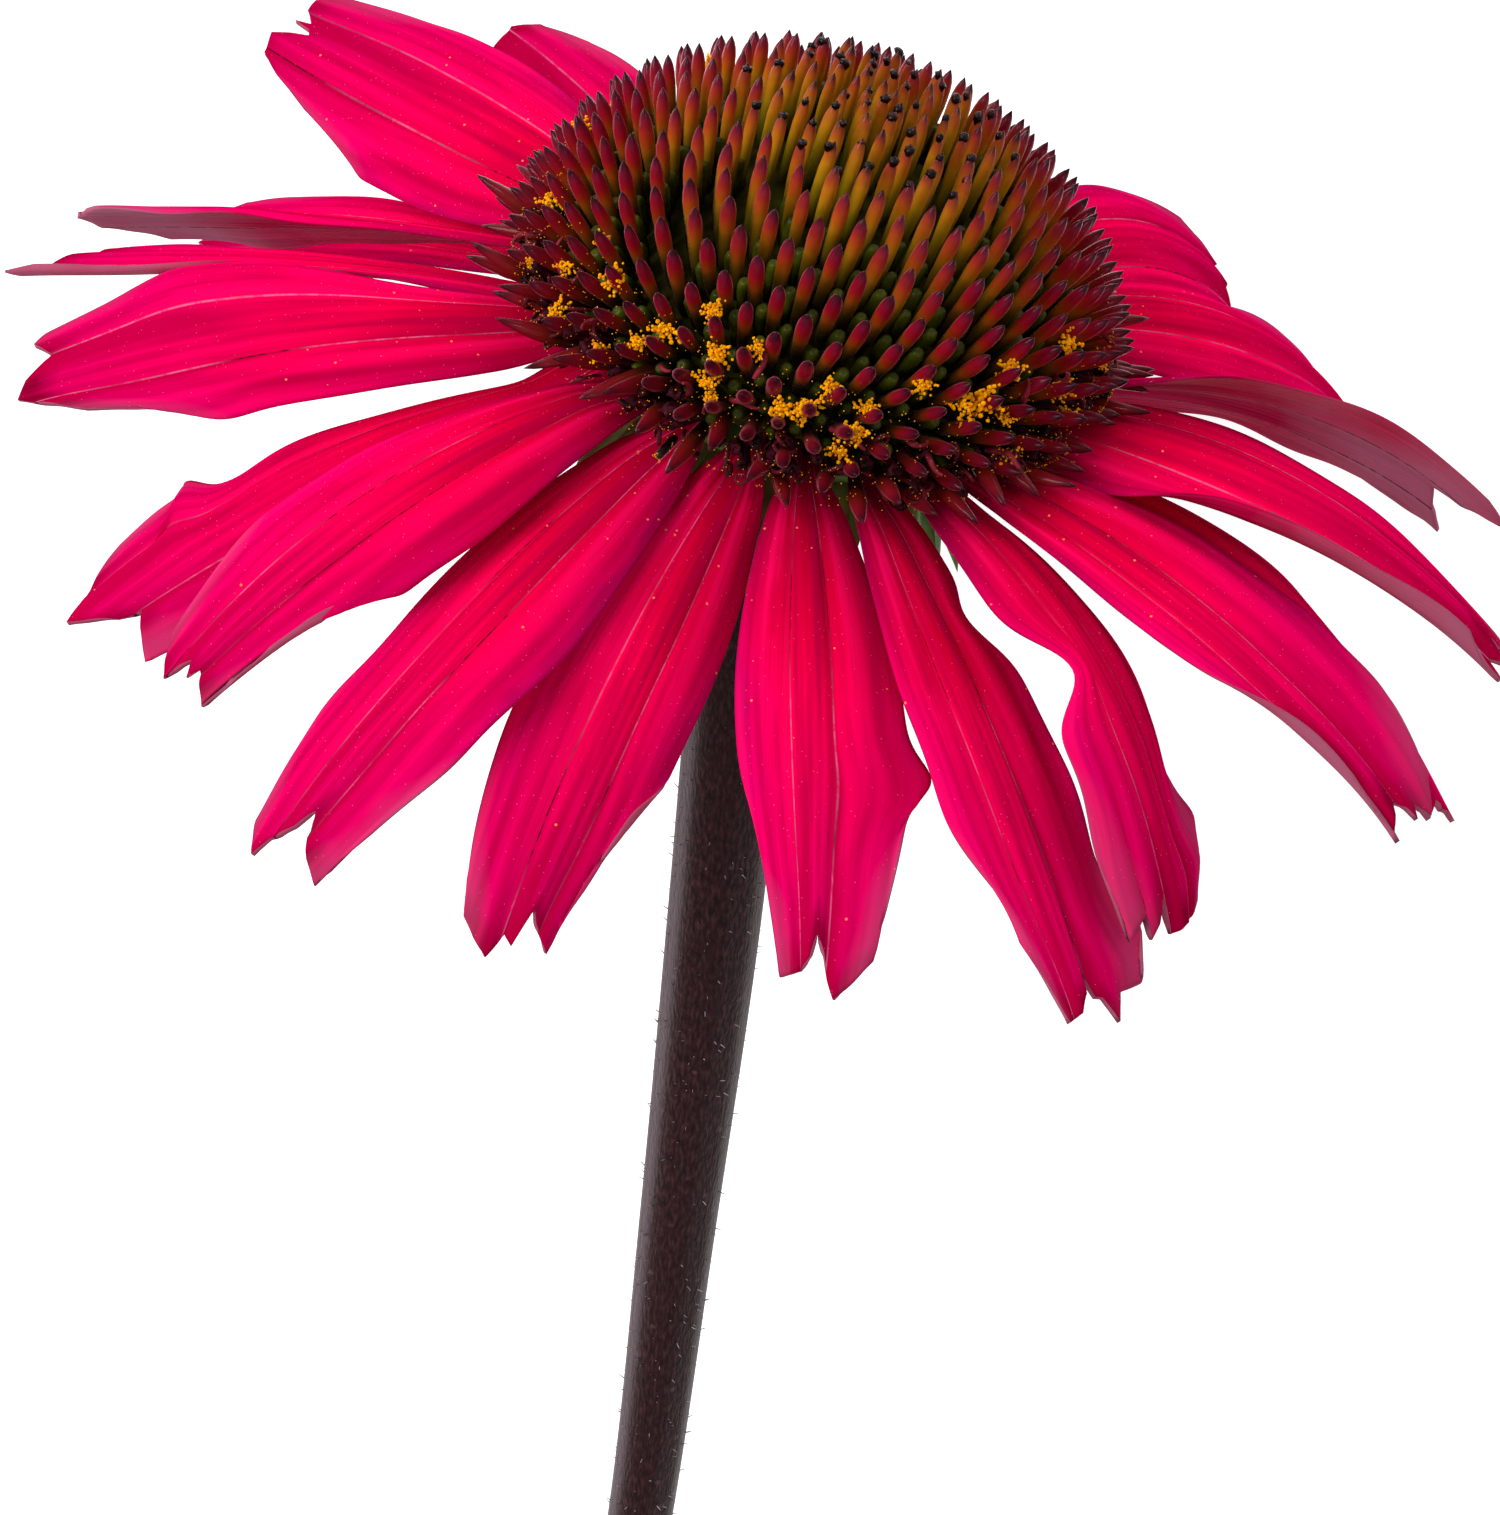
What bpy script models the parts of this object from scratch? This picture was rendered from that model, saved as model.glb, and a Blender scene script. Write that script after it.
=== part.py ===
"""A single purple coneflower, cut with its stem and lying on a surface.

The bloom is modelled upright in its own frame: the flower's axis is +Z, the side that
faces up once the bloom lies down is -Y, and the origin is the centre of the spiny cone
at its widest. The pieces are then parented to one empty, which lays the bloom down on
three low points: the lower edge of the stem's cut end and the tips of two back rays.
"""
from collections import namedtuple
from math import asin, cos, exp, pi, radians, sin, sqrt

import bmesh
import bpy
import numpy as np
from mathutils import Matrix, Vector

MM = 0.001
GAP = 0.3 * MM  # clearance between pieces that touch on the plant

# Spiny cone: the ellipsoid that the tips of its paleae reach, and the dome they grow from
TIP_RADIUS = 19.3 * MM
TIP_HEIGHT = 16.2 * MM
DOME_RADIUS = 13.4 * MM
DOME_HEIGHT = 10.6 * MM
PALEA_COUNT = 400
PALEA_RADIUS = 0.6 * MM
PALEA_POINT = 1.5 * MM
PALEA_LENGTH = 7.0 * MM
PALEA_LEAN = 1.5  # over 1, the paleae stand steeper than the cone's own slope
SPIRAL_REACH = 1.05  # 1 ends the spiral of paleae at the cone's widest level
SPIRAL_CROWDING = 1.25  # over 1, the paleae stand closer together towards the top
LOWEST_TIP = -1.0 * MM
RAY_CLEARANCE = 1.4 * MM  # paleae that would come nearer to a ray below them are left out
GOLDEN_ANGLE = pi * (3 - sqrt(5))

# Rays: coloured petals, each on a narrow claw gripped between the cone and the green cup
RAY_THICKNESS = 0.65 * MM
CLAW_START = 9.9 * MM
CLAW_RADIUS = 11.5 * MM
CLAW_HEIGHT = -2.3 * MM
CLAW_HALF_WIDTH = 0.85 * MM
RAY_ARCH = 0.12
RAY_ROWS = (0.0, 0.07, 0.17, 0.33, 0.5, 0.67, 0.81, 0.92, 1.0)
RAY_COLUMNS = (-1.0, -0.72, -0.42, 0.0, 0.42, 0.72, 1.0)
PLEATS = (0.0, 0.06, -0.16, 0.08, -0.16, 0.06, 0.0)  # two long grooves, in parts of the depth
PLEAT_DEPTH = 1.6 * MM
WIDTH_ALONG = ((0.0, 0.14), (0.06, 0.24), (0.15, 0.47), (0.29, 0.77), (0.43, 0.94),
               (0.57, 1.0), (0.71, 0.99), (0.83, 0.92), (0.92, 0.83), (1.0, 0.72))
MIDRIB_STEPS = 100
ASIDE_END = 0.1  # the part of the length over which a ray turns aside
LEVEL_STEP = 0.7 * MM
LEVEL_START = 0.01
LEVEL_END = 0.17

# Ends of the rays, in mm past the ray's length at each column: teeth with notches between
TIPS = {
    "two": (-5.6, -2.2, 0.0, -3.0, 0.3, -2.0, -5.6),
    "three": (-5.2, -0.9, -2.8, 0.4, -2.6, -0.7, -5.2),
    "left": (-4.0, 0.4, -2.6, -1.4, -0.6, -2.6, -6.0),
    "round": (-5.8, -2.0, -0.4, -1.2, 0.0, -1.8, -5.8),
}

# Rays round the cone. Azimuth 0 faces up when the bloom lies down, +90 is its right side.
# Rise and fall are the heading above the level at the claw and at the tip. Aside turns the
# heading at the claw and swing along the blade, roll and twist turn the blade about its
# midrib at the claw and at the tip, all in degrees. Length and width are in mm, and level
# lifts a ray over its neighbours.
Ray = namedtuple("Ray", "azimuth rise fall length width aside swing roll twist level tip")
RAYS = (
    Ray(-172, 8, -13, 25.0, 9.0, 0, 0, 0, 0, 0, "two"),
    Ray(-149, -11, -8, 32.3, 12.5, 7, 1, 8, -46, -1, "round"),
    Ray(-127, -3, -9, 32.0, 13.0, 4, 4, -15, -34, 1, "two"),
    Ray(-112, -15, -34, 33.0, 10.0, -1, 0, 0, -30, -1.9, "round"),
    Ray(-98.5, -15, -31.5, 37.5, 8.6, -6, -4, 29, 36, 1.8, "three"),
    Ray(-87, -6, -26, 35.5, 8.2, -4, 2, 14, 12, -0.8, "two"),
    Ray(-72, -1, -34, 34.5, 13.0, 1, -2, -6, -18, -0.2, "three"),
    Ray(-56, -11, -44, 36.5, 11.5, 2, 8, 18, -4, -1.5, "left"),
    Ray(-39, -4, -53, 34.5, 9.8, -5, 3, 5, -5, 1, "two"),
    Ray(-22, -16, -52, 38.0, 10.5, -6, -1, -3, 12, 0.4, "two"),
    Ray(-5, -19, -58, 34.3, 10.6, -4, 3, -7, -16, -1, "three"),
    Ray(12, -11, -51, 33.0, 9.8, 6, 6, -2, 32, 0, "two"),
    Ray(29, -10, -32, 37.0, 9.4, 10, 1, -7, -4, 0.6, "two"),
    Ray(43, 17, -55, 36.0, 8.2, 4, 1, -3, -8, -0.5, "three"),
    Ray(56, 20, -31, 38.0, 10.0, 9, -5, 10, 6, 0.8, "two"),
    Ray(71, 12, -37, 38.0, 10.5, 3, 0, 14, -13, -1, "two"),
    Ray(84, 28, -30, 35.5, 10.2, -7, -1, 10, -10, 1.5, "two"),
    Ray(106, 34, -33, 32.8, 9.2, -8, -3, -36, -58, -1.1, "two"),
    Ray(125, 23, -47, 31.5, 10.2, 0, 0, 1, 2, 1.7, "round"),
    Ray(145, 29, -43, 31.8, 11.5, 0, -7, -6, 26, -1.2, "round"),
    Ray(165, 7, -16, 26.5, 9.0, 0, 0, 0, 0, -0.8, "two"),
)

# Where a ray's edge leaves the even outline: its number, the side (-1 or 1), the place along
# it, how far along it that reaches, and mm outwards
EDGES = (
    (4, 1, 0.60, 0.50, -3.0), (5, -1, 0.30, 0.25, -1.8), (6, -1, 0.75, 0.35, 1.2),
    (6, 1, 0.38, 0.25, -1.8), (7, -1, 0.28, 0.20, -1.8), (7, -1, 0.64, 0.20, 2.0),
    (7, -1, 0.77, 0.10, 1.3), (7, 1, 0.42, 0.30, -1.4), (7, 1, 0.80, 0.14, 0.7),
    (7, 1, 0.97, 0.12, -0.8), (10, -1, 0.55, 0.25, -1.0), (11, 1, 0.60, 0.30, -0.9),
    (12, -1, 0.95, 0.30, -1.2), (13, 1, 0.32, 0.08, -1.2), (13, 1, 0.96, 0.10, 1.6),
    (14, -1, 0.53, 0.10, -2.4), (14, -1, 0.95, 0.15, 0.9), (14, 1, 0.80, 0.12, -0.9),
    (15, -1, 0.95, 0.20, -1.1), (15, 1, 0.88, 0.15, 0.8), (16, 1, 0.75, 0.20, 0.8),
    (19, -1, 0.60, 0.40, 1.2),
)

# Green cup under the rays, with two rows of narrow bracts
CUP_RADIUS = 10.7 * MM
CUP_TOP = CLAW_HEIGHT - RAY_THICKNESS / 2 - GAP
CUP_BOTTOM = -6.4 * MM
BRACTS_PER_ROW = 14
BRACT_LENGTH = 8.5 * MM
BRACT_WIDTH = 2.6 * MM
BRACT_THICKNESS = 0.9 * MM
BRACT_FALLS = (-42, -66)  # degrees below the level, upper and lower row

# Stem: distance below the cone's widest level, sideways bow and thickness, in mm
STEM_TOP_RADIUS = 3.3 * MM
STEM_PATH = ((-6.75, 0.0, 6.6), (-10.0, 0.0, 6.4), (-20.0, 1.7, 6.2), (-40.0, 5.7, 6.1),
             (-65.0, 10.2, 5.1), (-90.0, 14.5, 4.3), (-120.0, 18.0, 4.1), (-146.0, 19.5, 4.1))
STEM_SIDES = 12

# Colours of the pieces: (red, green, blue) in linear values, and roughness
COLOURS = {
    "ray": ((0.70, 0.004, 0.07), 0.45),
    "cone": ((0.13, 0.022, 0.008), 0.4),
    "cup": ((0.06, 0.11, 0.03), 0.6),
    "stem": ((0.03, 0.012, 0.016), 0.5),
}


def clear_scene():
    for obj in list(bpy.data.objects):
        bpy.data.objects.remove(obj)


def make_material(name):
    colour, roughness = COLOURS[name]
    material = bpy.data.materials.new(name)
    material.use_nodes = True
    shader = material.node_tree.nodes["Principled BSDF"]
    shader.inputs["Base Color"].default_value = (*colour, 1.0)
    shader.inputs["Roughness"].default_value = roughness
    shader.inputs["Metallic"].default_value = 0.0
    return material


def add_object(name, bm, collection, material):
    bmesh.ops.recalc_face_normals(bm, faces=bm.faces)
    for face in bm.faces:
        face.smooth = True
    mesh = bpy.data.meshes.new(name)
    bm.to_mesh(mesh)
    bm.free()
    mesh.materials.append(material)
    obj = bpy.data.objects.new(name, mesh)
    collection.objects.link(obj)
    return obj


def apply_modifiers(obj):
    graph = bpy.context.evaluated_depsgraph_get()
    mesh = bpy.data.meshes.new_from_object(obj.evaluated_get(graph))
    obj.modifiers.clear()
    obj.data = mesh


def join_all(obj, operands):
    """Fuses the objects of a collection into obj with one union."""
    union = obj.modifiers.new("union", "BOOLEAN")
    union.operation = "UNION"
    union.solver = "MANIFOLD"
    union.operand_type = "COLLECTION"
    union.collection = operands
    apply_modifiers(obj)
    for operand in list(operands.objects):
        bpy.data.objects.remove(operand)


def revolve(profile, sides):
    """A solid of revolution about Z from a profile of (radius, height) points."""
    bm = bmesh.new()
    points = [bm.verts.new((radius, 0.0, height)) for radius, height in profile]
    edges = [bm.edges.new(pair) for pair in zip(points, points[1:])]
    bmesh.ops.spin(bm, geom=points + edges, axis=(0, 0, 1), cent=(0, 0, 0),
                   steps=sides, angle=2 * pi, use_merge=True)
    bmesh.ops.remove_doubles(bm, verts=bm.verts, dist=0.01 * MM)
    return bm


def ellipse_arc(radius, height, start, end, points):
    """Points of a quarter ellipse, from the angle start to the angle end in degrees."""
    angles = np.radians(np.linspace(start, end, points))
    return [(radius * cos(a), height * sin(a)) for a in angles]


def aim(direction, place):
    """A transform that stands +Z along direction at a place."""
    return Matrix.Translation(place) @ direction.to_track_quat("Z", "Y").to_matrix().to_4x4()


def outward(azimuth):
    """The level unit vector that points away from the axis at an azimuth in radians."""
    return Vector((sin(azimuth), -cos(azimuth), 0.0))


def smooth_step(value, start, end):
    t = min(1.0, max(0.0, (value - start) / (end - start)))
    return t * t * (3 - 2 * t)


def interpolate(table, value):
    return float(np.interp(value, [row[0] for row in table], [row[1] for row in table]))


def heading_at(ray, along):
    """The unit vectors forward, to the side and up from the blade at a part of its length."""
    rise = radians(ray.rise + (ray.fall - ray.rise) * along)
    heading = radians(ray.azimuth + ray.aside * min(1.0, along / ASIDE_END) + ray.swing * along)
    forward = outward(heading) * cos(rise) + Vector((0, 0, sin(rise)))
    side = Vector((cos(heading), sin(heading), 0.0))
    normal = side.cross(forward) * -1.0
    turn = radians(ray.roll + (ray.twist - ray.roll) * along) * smooth_step(along, 0.0, 0.15)
    return forward, side * cos(turn) + normal * sin(turn), normal * cos(turn) - side * sin(turn)


def midrib(ray):
    """Points along a ray's midrib, MIDRIB_STEPS equal steps from the claw to the tip."""
    point = outward(radians(ray.azimuth)) * CLAW_RADIUS + Vector((0, 0, CLAW_HEIGHT))
    points = [point]
    for step in range(MIDRIB_STEPS):
        forward = heading_at(ray, (step + 0.5) / MIDRIB_STEPS)[0]
        point = point + forward * ray.length * MM / MIDRIB_STEPS
        points.append(point)
    return points


def half_width(number, ray, along, side):
    """The blade's half width on one side at a part of its length."""
    half = ray.width * MM * interpolate(WIDTH_ALONG, along) / 2
    for ray_number, edge_side, place, reach, out in EDGES:
        if ray_number == number and edge_side == side:
            half += out * MM * exp(-((along - place) / reach) ** 2)
    return max(CLAW_HALF_WIDTH, half)


def ray_points(number, ray):
    """The rows of points of a ray's blade, from its claw to its toothed tip."""
    azimuth = radians(ray.azimuth)
    across = Vector((cos(azimuth), sin(azimuth), 0.0))
    foot = outward(azimuth) * CLAW_START + Vector((0, 0, CLAW_HEIGHT))
    rows = [[foot + across * CLAW_HALF_WIDTH * column for column in RAY_COLUMNS]]
    centres = midrib(ray)
    for along in RAY_ROWS:
        centre = centres[round(along * MIDRIB_STEPS)]
        forward, side, normal = heading_at(ray, along)
        lift = ray.level * LEVEL_STEP * smooth_step(along, LEVEL_START, LEVEL_END)
        end = smooth_step(along, 0.5, 1.0)
        row = []
        for column, pleat, tooth in zip(RAY_COLUMNS, PLEATS, TIPS[ray.tip]):
            half = half_width(number, ray, along, 1 if column > 0 else -1)
            arch = -RAY_ARCH * half * 2 * column ** 2 + pleat * PLEAT_DEPTH * half / (4 * MM)
            row.append(centre + side * column * half + forward * tooth * MM * end
                       + normal * (lift + arch * smooth_step(along, 0.0, 0.2)))
        rows.append(row)
    return rows


def build_ray(number, ray, collection, material):
    rows = ray_points(number, ray)
    bm = bmesh.new()
    bmesh.ops.create_grid(bm, x_segments=len(RAY_COLUMNS) - 1, y_segments=len(rows) - 1,
                          size=0.5)
    bm.verts.ensure_lookup_table()
    ordered = sorted(bm.verts, key=lambda vert: (round(vert.co.y, 4), round(vert.co.x, 4)))
    for vert, point in zip(ordered, [point for row in rows for point in row]):
        vert.co = point
    bmesh.ops.triangulate(bm, faces=bm.faces, quad_method="FIXED")
    obj = add_object(f"ray_{number:02d}", bm, collection, material)
    solidify = obj.modifiers.new("thickness", "SOLIDIFY")
    solidify.thickness = RAY_THICKNESS
    solidify.offset = 0.0
    apply_modifiers(obj)
    return obj


def rays_top(rays, azimuth, radius):
    """How high the rays reach at a place near the cone, or None where there is none."""
    heights = []
    for ray in rays:
        off = (azimuth - radians(ray.azimuth) + pi) % (2 * pi) - pi
        reach = radius - CLAW_RADIUS
        if reach < 0 or abs(off) * radius > 0.3 * ray.width * MM + 1.2 * MM:
            continue
        tilted = 0.25 * ray.width * MM * abs(sin(radians(ray.roll)))
        heights.append(CLAW_HEIGHT + reach * sin(radians(ray.rise)) + ray.level * LEVEL_STEP
                       + tilted)
    return max(heights, default=None)


def build_palea(azimuth, tip_angle, collection):
    """One stiff pointed palea, from inside the dome to the ellipsoid of the tips."""
    level = outward(azimuth)
    tip = level * TIP_RADIUS * cos(tip_angle) + Vector((0, 0, TIP_HEIGHT * sin(tip_angle)))
    steepness = max(0.0, 1 - tip_angle / (pi / 2))
    rise = pi / 2 * (1 - steepness ** PALEA_LEAN)
    direction = level * cos(rise) + Vector((0, 0, sin(rise)))
    root = tip - direction * PALEA_LENGTH
    shaft = PALEA_LENGTH - PALEA_POINT
    bm = bmesh.new()
    made = bmesh.ops.create_cone(bm, cap_ends=True, segments=4, radius1=PALEA_RADIUS * 0.8,
                                 radius2=PALEA_RADIUS, depth=shaft)
    bmesh.ops.translate(bm, verts=made["verts"], vec=(0, 0, shaft / 2))
    top = [face for face in bm.faces if face.calc_center_median().z > shaft * 0.99]
    bmesh.ops.poke(bm, faces=top, offset=PALEA_POINT)
    bmesh.ops.rotate(bm, verts=bm.verts, matrix=Matrix.Rotation(azimuth, 3, "Z"))
    bmesh.ops.transform(bm, matrix=aim(direction, root), verts=bm.verts)
    add_object("palea", bm, collection, None)


def build_cone(rays, collection, operands, material):
    """The dome with its boss in the green cup, and the paleae in a sunflower spiral."""
    boss = CLAW_START - 1.0 * MM
    under = CLAW_HEIGHT + RAY_THICKNESS / 2 + GAP
    profile = [(0.0, CUP_TOP + GAP), (boss, CUP_TOP + GAP), (boss, under),
               (CLAW_RADIUS - 0.5 * MM, under), (DOME_RADIUS, under + 2.4 * MM)]
    profile += ellipse_arc(DOME_RADIUS, DOME_HEIGHT, 10, 90, 9)
    profile[-1] = (0.0, DOME_HEIGHT)
    cone = add_object("cone", revolve(profile, 32), collection, material)
    for index in range(PALEA_COUNT):
        part = (index + 0.5) / PALEA_COUNT
        tip_angle = asin(1 - SPIRAL_REACH * part ** SPIRAL_CROWDING)
        azimuth = index * GOLDEN_ANGLE
        tip_height = TIP_HEIGHT * sin(tip_angle)
        rays_reach = rays_top(rays, azimuth, TIP_RADIUS - 1.0 * MM)
        if rays_reach is None or tip_height > max(LOWEST_TIP, rays_reach + RAY_CLEARANCE):
            build_palea(azimuth, tip_angle, operands)
    join_all(cone, operands)
    return cone


def build_cup(collection, operands, material):
    """The shallow cup that holds the claws, with two rows of bracts bent down."""
    profile = [(0.0, CUP_TOP), (CUP_RADIUS - 0.6 * MM, CUP_TOP), (CUP_RADIUS, CUP_TOP - 0.5 * MM),
               (CUP_RADIUS - 0.8 * MM, CUP_TOP - 1.5 * MM), (6.5 * MM, CUP_BOTTOM + 0.9 * MM),
               (STEM_TOP_RADIUS + 0.3 * MM, CUP_BOTTOM), (0.0, CUP_BOTTOM)]
    cup = add_object("involucre", revolve(profile, 28), collection, material)
    for row, fall in enumerate(BRACT_FALLS):
        for index in range(BRACTS_PER_ROW):
            azimuth = 2 * pi * (index + 0.5 * row) / BRACTS_PER_ROW
            level = outward(azimuth)
            root = level * (CUP_RADIUS - (1.6 + 1.8 * row) * MM)
            root.z = CUP_TOP - (1.1 + 0.9 * row) * MM
            direction = level * cos(radians(fall)) + Vector((0, 0, sin(radians(fall))))
            bm = bmesh.new()
            made = bmesh.ops.create_cone(bm, cap_ends=True, segments=6, depth=BRACT_LENGTH,
                                         radius1=BRACT_WIDTH / 2, radius2=0.25 * MM)
            bmesh.ops.scale(bm, vec=(1, BRACT_THICKNESS / BRACT_WIDTH, 1), verts=made["verts"])
            bmesh.ops.translate(bm, vec=(0, 0, BRACT_LENGTH / 2), verts=made["verts"])
            side = Vector((cos(azimuth), sin(azimuth), 0.0))
            turn = Matrix((side, direction.cross(side), direction)).transposed().to_4x4()
            bmesh.ops.transform(bm, matrix=Matrix.Translation(root) @ turn, verts=made["verts"])
            add_object("bract", bm, operands, None)
    join_all(cup, operands)
    return cup


def build_stem(collection, material):
    """The stem, thickest just under the bloom and cut square at its lower end."""
    data = bpy.data.curves.new("stem_path", "CURVE")
    data.dimensions = "3D"
    data.bevel_depth = 1.0
    data.bevel_resolution = STEM_SIDES // 2 - 2
    data.use_fill_caps = True
    data.resolution_u = 2
    spline = data.splines.new("BEZIER")
    spline.bezier_points.add(len(STEM_PATH) - 1)
    for point, (height, bow, thickness) in zip(spline.bezier_points, STEM_PATH):
        point.co = Vector((bow, 0.0, height)) * MM
        point.radius = thickness * MM / 2
        point.handle_left_type = "AUTO"
        point.handle_right_type = "AUTO"
    curve = bpy.data.objects.new("stem_path", data)
    collection.objects.link(curve)
    mesh = bpy.data.meshes.new_from_object(curve)
    bpy.data.objects.remove(curve)
    bm = bmesh.new()
    bm.from_mesh(mesh)
    bmesh.ops.remove_doubles(bm, verts=bm.verts, dist=0.01 * MM)
    return add_object("stem", bm, collection, material)


def mesh_points(obj):
    points = np.empty(len(obj.data.vertices) * 3)
    obj.data.vertices.foreach_get("co", points)
    return points.reshape(-1, 3)


def lay_down(pieces, stem, rests):
    """The transform that lays the bloom on the stem's cut end and two rays' tips."""
    turn = Matrix.Rotation(-pi / 2, 4, "X")
    for _ in range(4):
        low = []
        for piece in (stem, *rests):
            points = mesh_points(piece) @ np.array(turn.to_3x3()).T
            if piece is stem:
                points = points[points[:, 1] < points[:, 1].min() + 3 * MM]
            low.append(Vector(points[points[:, 2].argmin()]))
        floor_normal = (low[1] - low[0]).cross(low[2] - low[0]).normalized()
        if floor_normal.z < 0:
            floor_normal.negate()
        turn = floor_normal.rotation_difference(Vector((0, 0, 1))).to_matrix().to_4x4() @ turn
    points = np.vstack([mesh_points(piece) @ np.array(turn.to_3x3()).T for piece in pieces])
    low, high = points.min(axis=0), points.max(axis=0)
    shift = Vector((-(low[0] + high[0]) / 2, -(low[1] + high[1]) / 2, -low[2]))
    return Matrix.Translation(shift) @ turn


def main():
    clear_scene()
    bloom = bpy.data.collections.new("purple_coneflower")
    operands = bpy.data.collections.new("operands")
    operands.hide_render = True
    for collection in (bloom, operands):
        bpy.context.scene.collection.children.link(collection)
    materials = {name: make_material(name) for name in COLOURS}
    stem = build_stem(bloom, materials["stem"])
    cup = build_cup(bloom, operands, materials["cup"])
    cone = build_cone(RAYS, bloom, operands, materials["cone"])
    rays = [build_ray(number, ray, bloom, materials["ray"])
            for number, ray in enumerate(RAYS, start=1)]
    bpy.data.collections.remove(operands)
    pieces = [stem, cup, cone, *rays]
    resting_rays = (rays[1], rays[-1])
    root = bpy.data.objects.new("bloom_laid_down", None)
    bloom.objects.link(root)
    root.matrix_world = lay_down(pieces, stem, resting_rays)
    for piece in pieces:
        piece.parent = root


main()
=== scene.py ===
# %% [markdown]
# # A purple coneflower, cut and laid down
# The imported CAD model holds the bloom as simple, sound solids. This lesson dresses it: each
# solid is replaced by a fine piece that follows it, with the veins, teeth, buds and pollen
# that the solids are too coarse for. All lengths are worked out in millimetres in the
# bloom's own frame, where the flower's axis is +Z, and are turned into the world at the end.

# %% Load the frame
from collections import namedtuple
from math import asin, cos, pi, radians, sin, sqrt

import bpy
import numpy as np
from mathutils import Matrix, Vector


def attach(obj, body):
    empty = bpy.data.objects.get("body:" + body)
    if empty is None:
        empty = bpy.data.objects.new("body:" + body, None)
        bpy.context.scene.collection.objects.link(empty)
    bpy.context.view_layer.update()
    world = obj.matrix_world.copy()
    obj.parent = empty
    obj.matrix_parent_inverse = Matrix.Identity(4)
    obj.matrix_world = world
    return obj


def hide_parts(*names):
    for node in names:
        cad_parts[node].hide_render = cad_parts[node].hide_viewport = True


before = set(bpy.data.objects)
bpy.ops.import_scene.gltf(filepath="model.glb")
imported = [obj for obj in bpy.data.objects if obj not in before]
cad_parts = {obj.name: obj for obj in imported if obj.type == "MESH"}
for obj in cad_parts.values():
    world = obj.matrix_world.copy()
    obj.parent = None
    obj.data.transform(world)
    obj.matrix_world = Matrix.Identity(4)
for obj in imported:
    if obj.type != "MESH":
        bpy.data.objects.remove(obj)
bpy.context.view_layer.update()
MM = 0.001

# %% [markdown]
# ## Where the bloom lies
# The bloom lies on its back, so its axis is nearly level. The green cup is the same all the
# way round, so the odd one of its three principal directions is the flower's axis. The stem
# bows towards one side only, and that side is +X. The three directions and the centre of
# the cone's widest level make the bloom's own frame.

# %% Measure the bloom's own frame on the CAD nodes
CUP_TOP = -2.925  # mm, height of the green cup's flat top below the cone's widest level


def cad_points(node):
    """The separate points of a CAD node's mesh, in metres."""
    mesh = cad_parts[node].data
    points = np.empty(len(mesh.vertices) * 3)
    mesh.vertices.foreach_get("co", points)
    return np.unique(points.reshape(-1, 3).round(7), axis=0)


cup_points = cad_points("involucre")
cup_middle = cup_points.mean(axis=0)
spreads, directions = np.linalg.eigh(np.cov((cup_points - cup_middle).T))
flower_axis = directions[:, np.argmax(abs(spreads - np.median(spreads)))]
flower_axis *= np.sign(flower_axis @ (cad_points("cone").mean(axis=0) - cup_middle))
cup_height = ((cup_points - cup_middle) @ flower_axis).max()
bloom_centre = cup_middle + flower_axis * (cup_height - CUP_TOP * MM)
stem_points = cad_points("stem") - bloom_centre
stem_heights = stem_points @ flower_axis
cut_end = stem_points[stem_heights < stem_heights.min() + 2 * MM].mean(axis=0)
bow_side = cut_end - flower_axis * (cut_end @ flower_axis)
bow_side /= np.linalg.norm(bow_side)
back_side = np.cross(flower_axis, bow_side)
bloom_turn = np.column_stack((bow_side, back_side, flower_axis))
BLOOM = (Matrix.Translation(bloom_centre) @ Matrix(bloom_turn.tolist()).to_4x4()
         @ Matrix.Scale(MM, 4))
print("flower axis", flower_axis.round(4), "centre", (bloom_centre / MM).round(2), "mm")

# %% [markdown]
# ## The camera
# The photograph looks at the flower from 30 degrees above the level of its rays, with the
# flower's axis leaning to the right in the picture. As the bloom lies on its back here, the
# same view is one from above. The lens follows from the scale: 17 pixels for a millimetre
# at the distance of the cone.

# %% Set the camera
PHOTO_WIDTH, PHOTO_HEIGHT = 1500, 1515
CAMERA_DISTANCE = 420.0  # mm
CAMERA_RISE = radians(29.7)
AXIS_LEAN = radians(18.6)
PIXELS_PER_MM = 17.0
CONE_PIXEL = (809.0, 324.0)  # where the centre of the cone's widest level shows
SENSOR = 36.0  # mm, along the longer side of the picture

focal_pixels = PIXELS_PER_MM * CAMERA_DISTANCE
towards = Vector((0, -cos(CAMERA_RISE), sin(CAMERA_RISE)))
level_right = Vector((1, 0, 0))
level_up = Vector((0, sin(CAMERA_RISE), cos(CAMERA_RISE)))
right = level_right * cos(AXIS_LEAN) + level_up * sin(AXIS_LEAN)
up = level_up * cos(AXIS_LEAN) - level_right * sin(AXIS_LEAN)
straight = Matrix((right, up, towards)).transposed()
to_cone = Vector((CONE_PIXEL[0] - PHOTO_WIDTH / 2, PHOTO_HEIGHT / 2 - CONE_PIXEL[1], -focal_pixels))
aside = to_cone.rotation_difference(Vector((0, 0, -1))).to_matrix()
camera_turn = Matrix(bloom_turn.tolist()) @ straight @ aside

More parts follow.
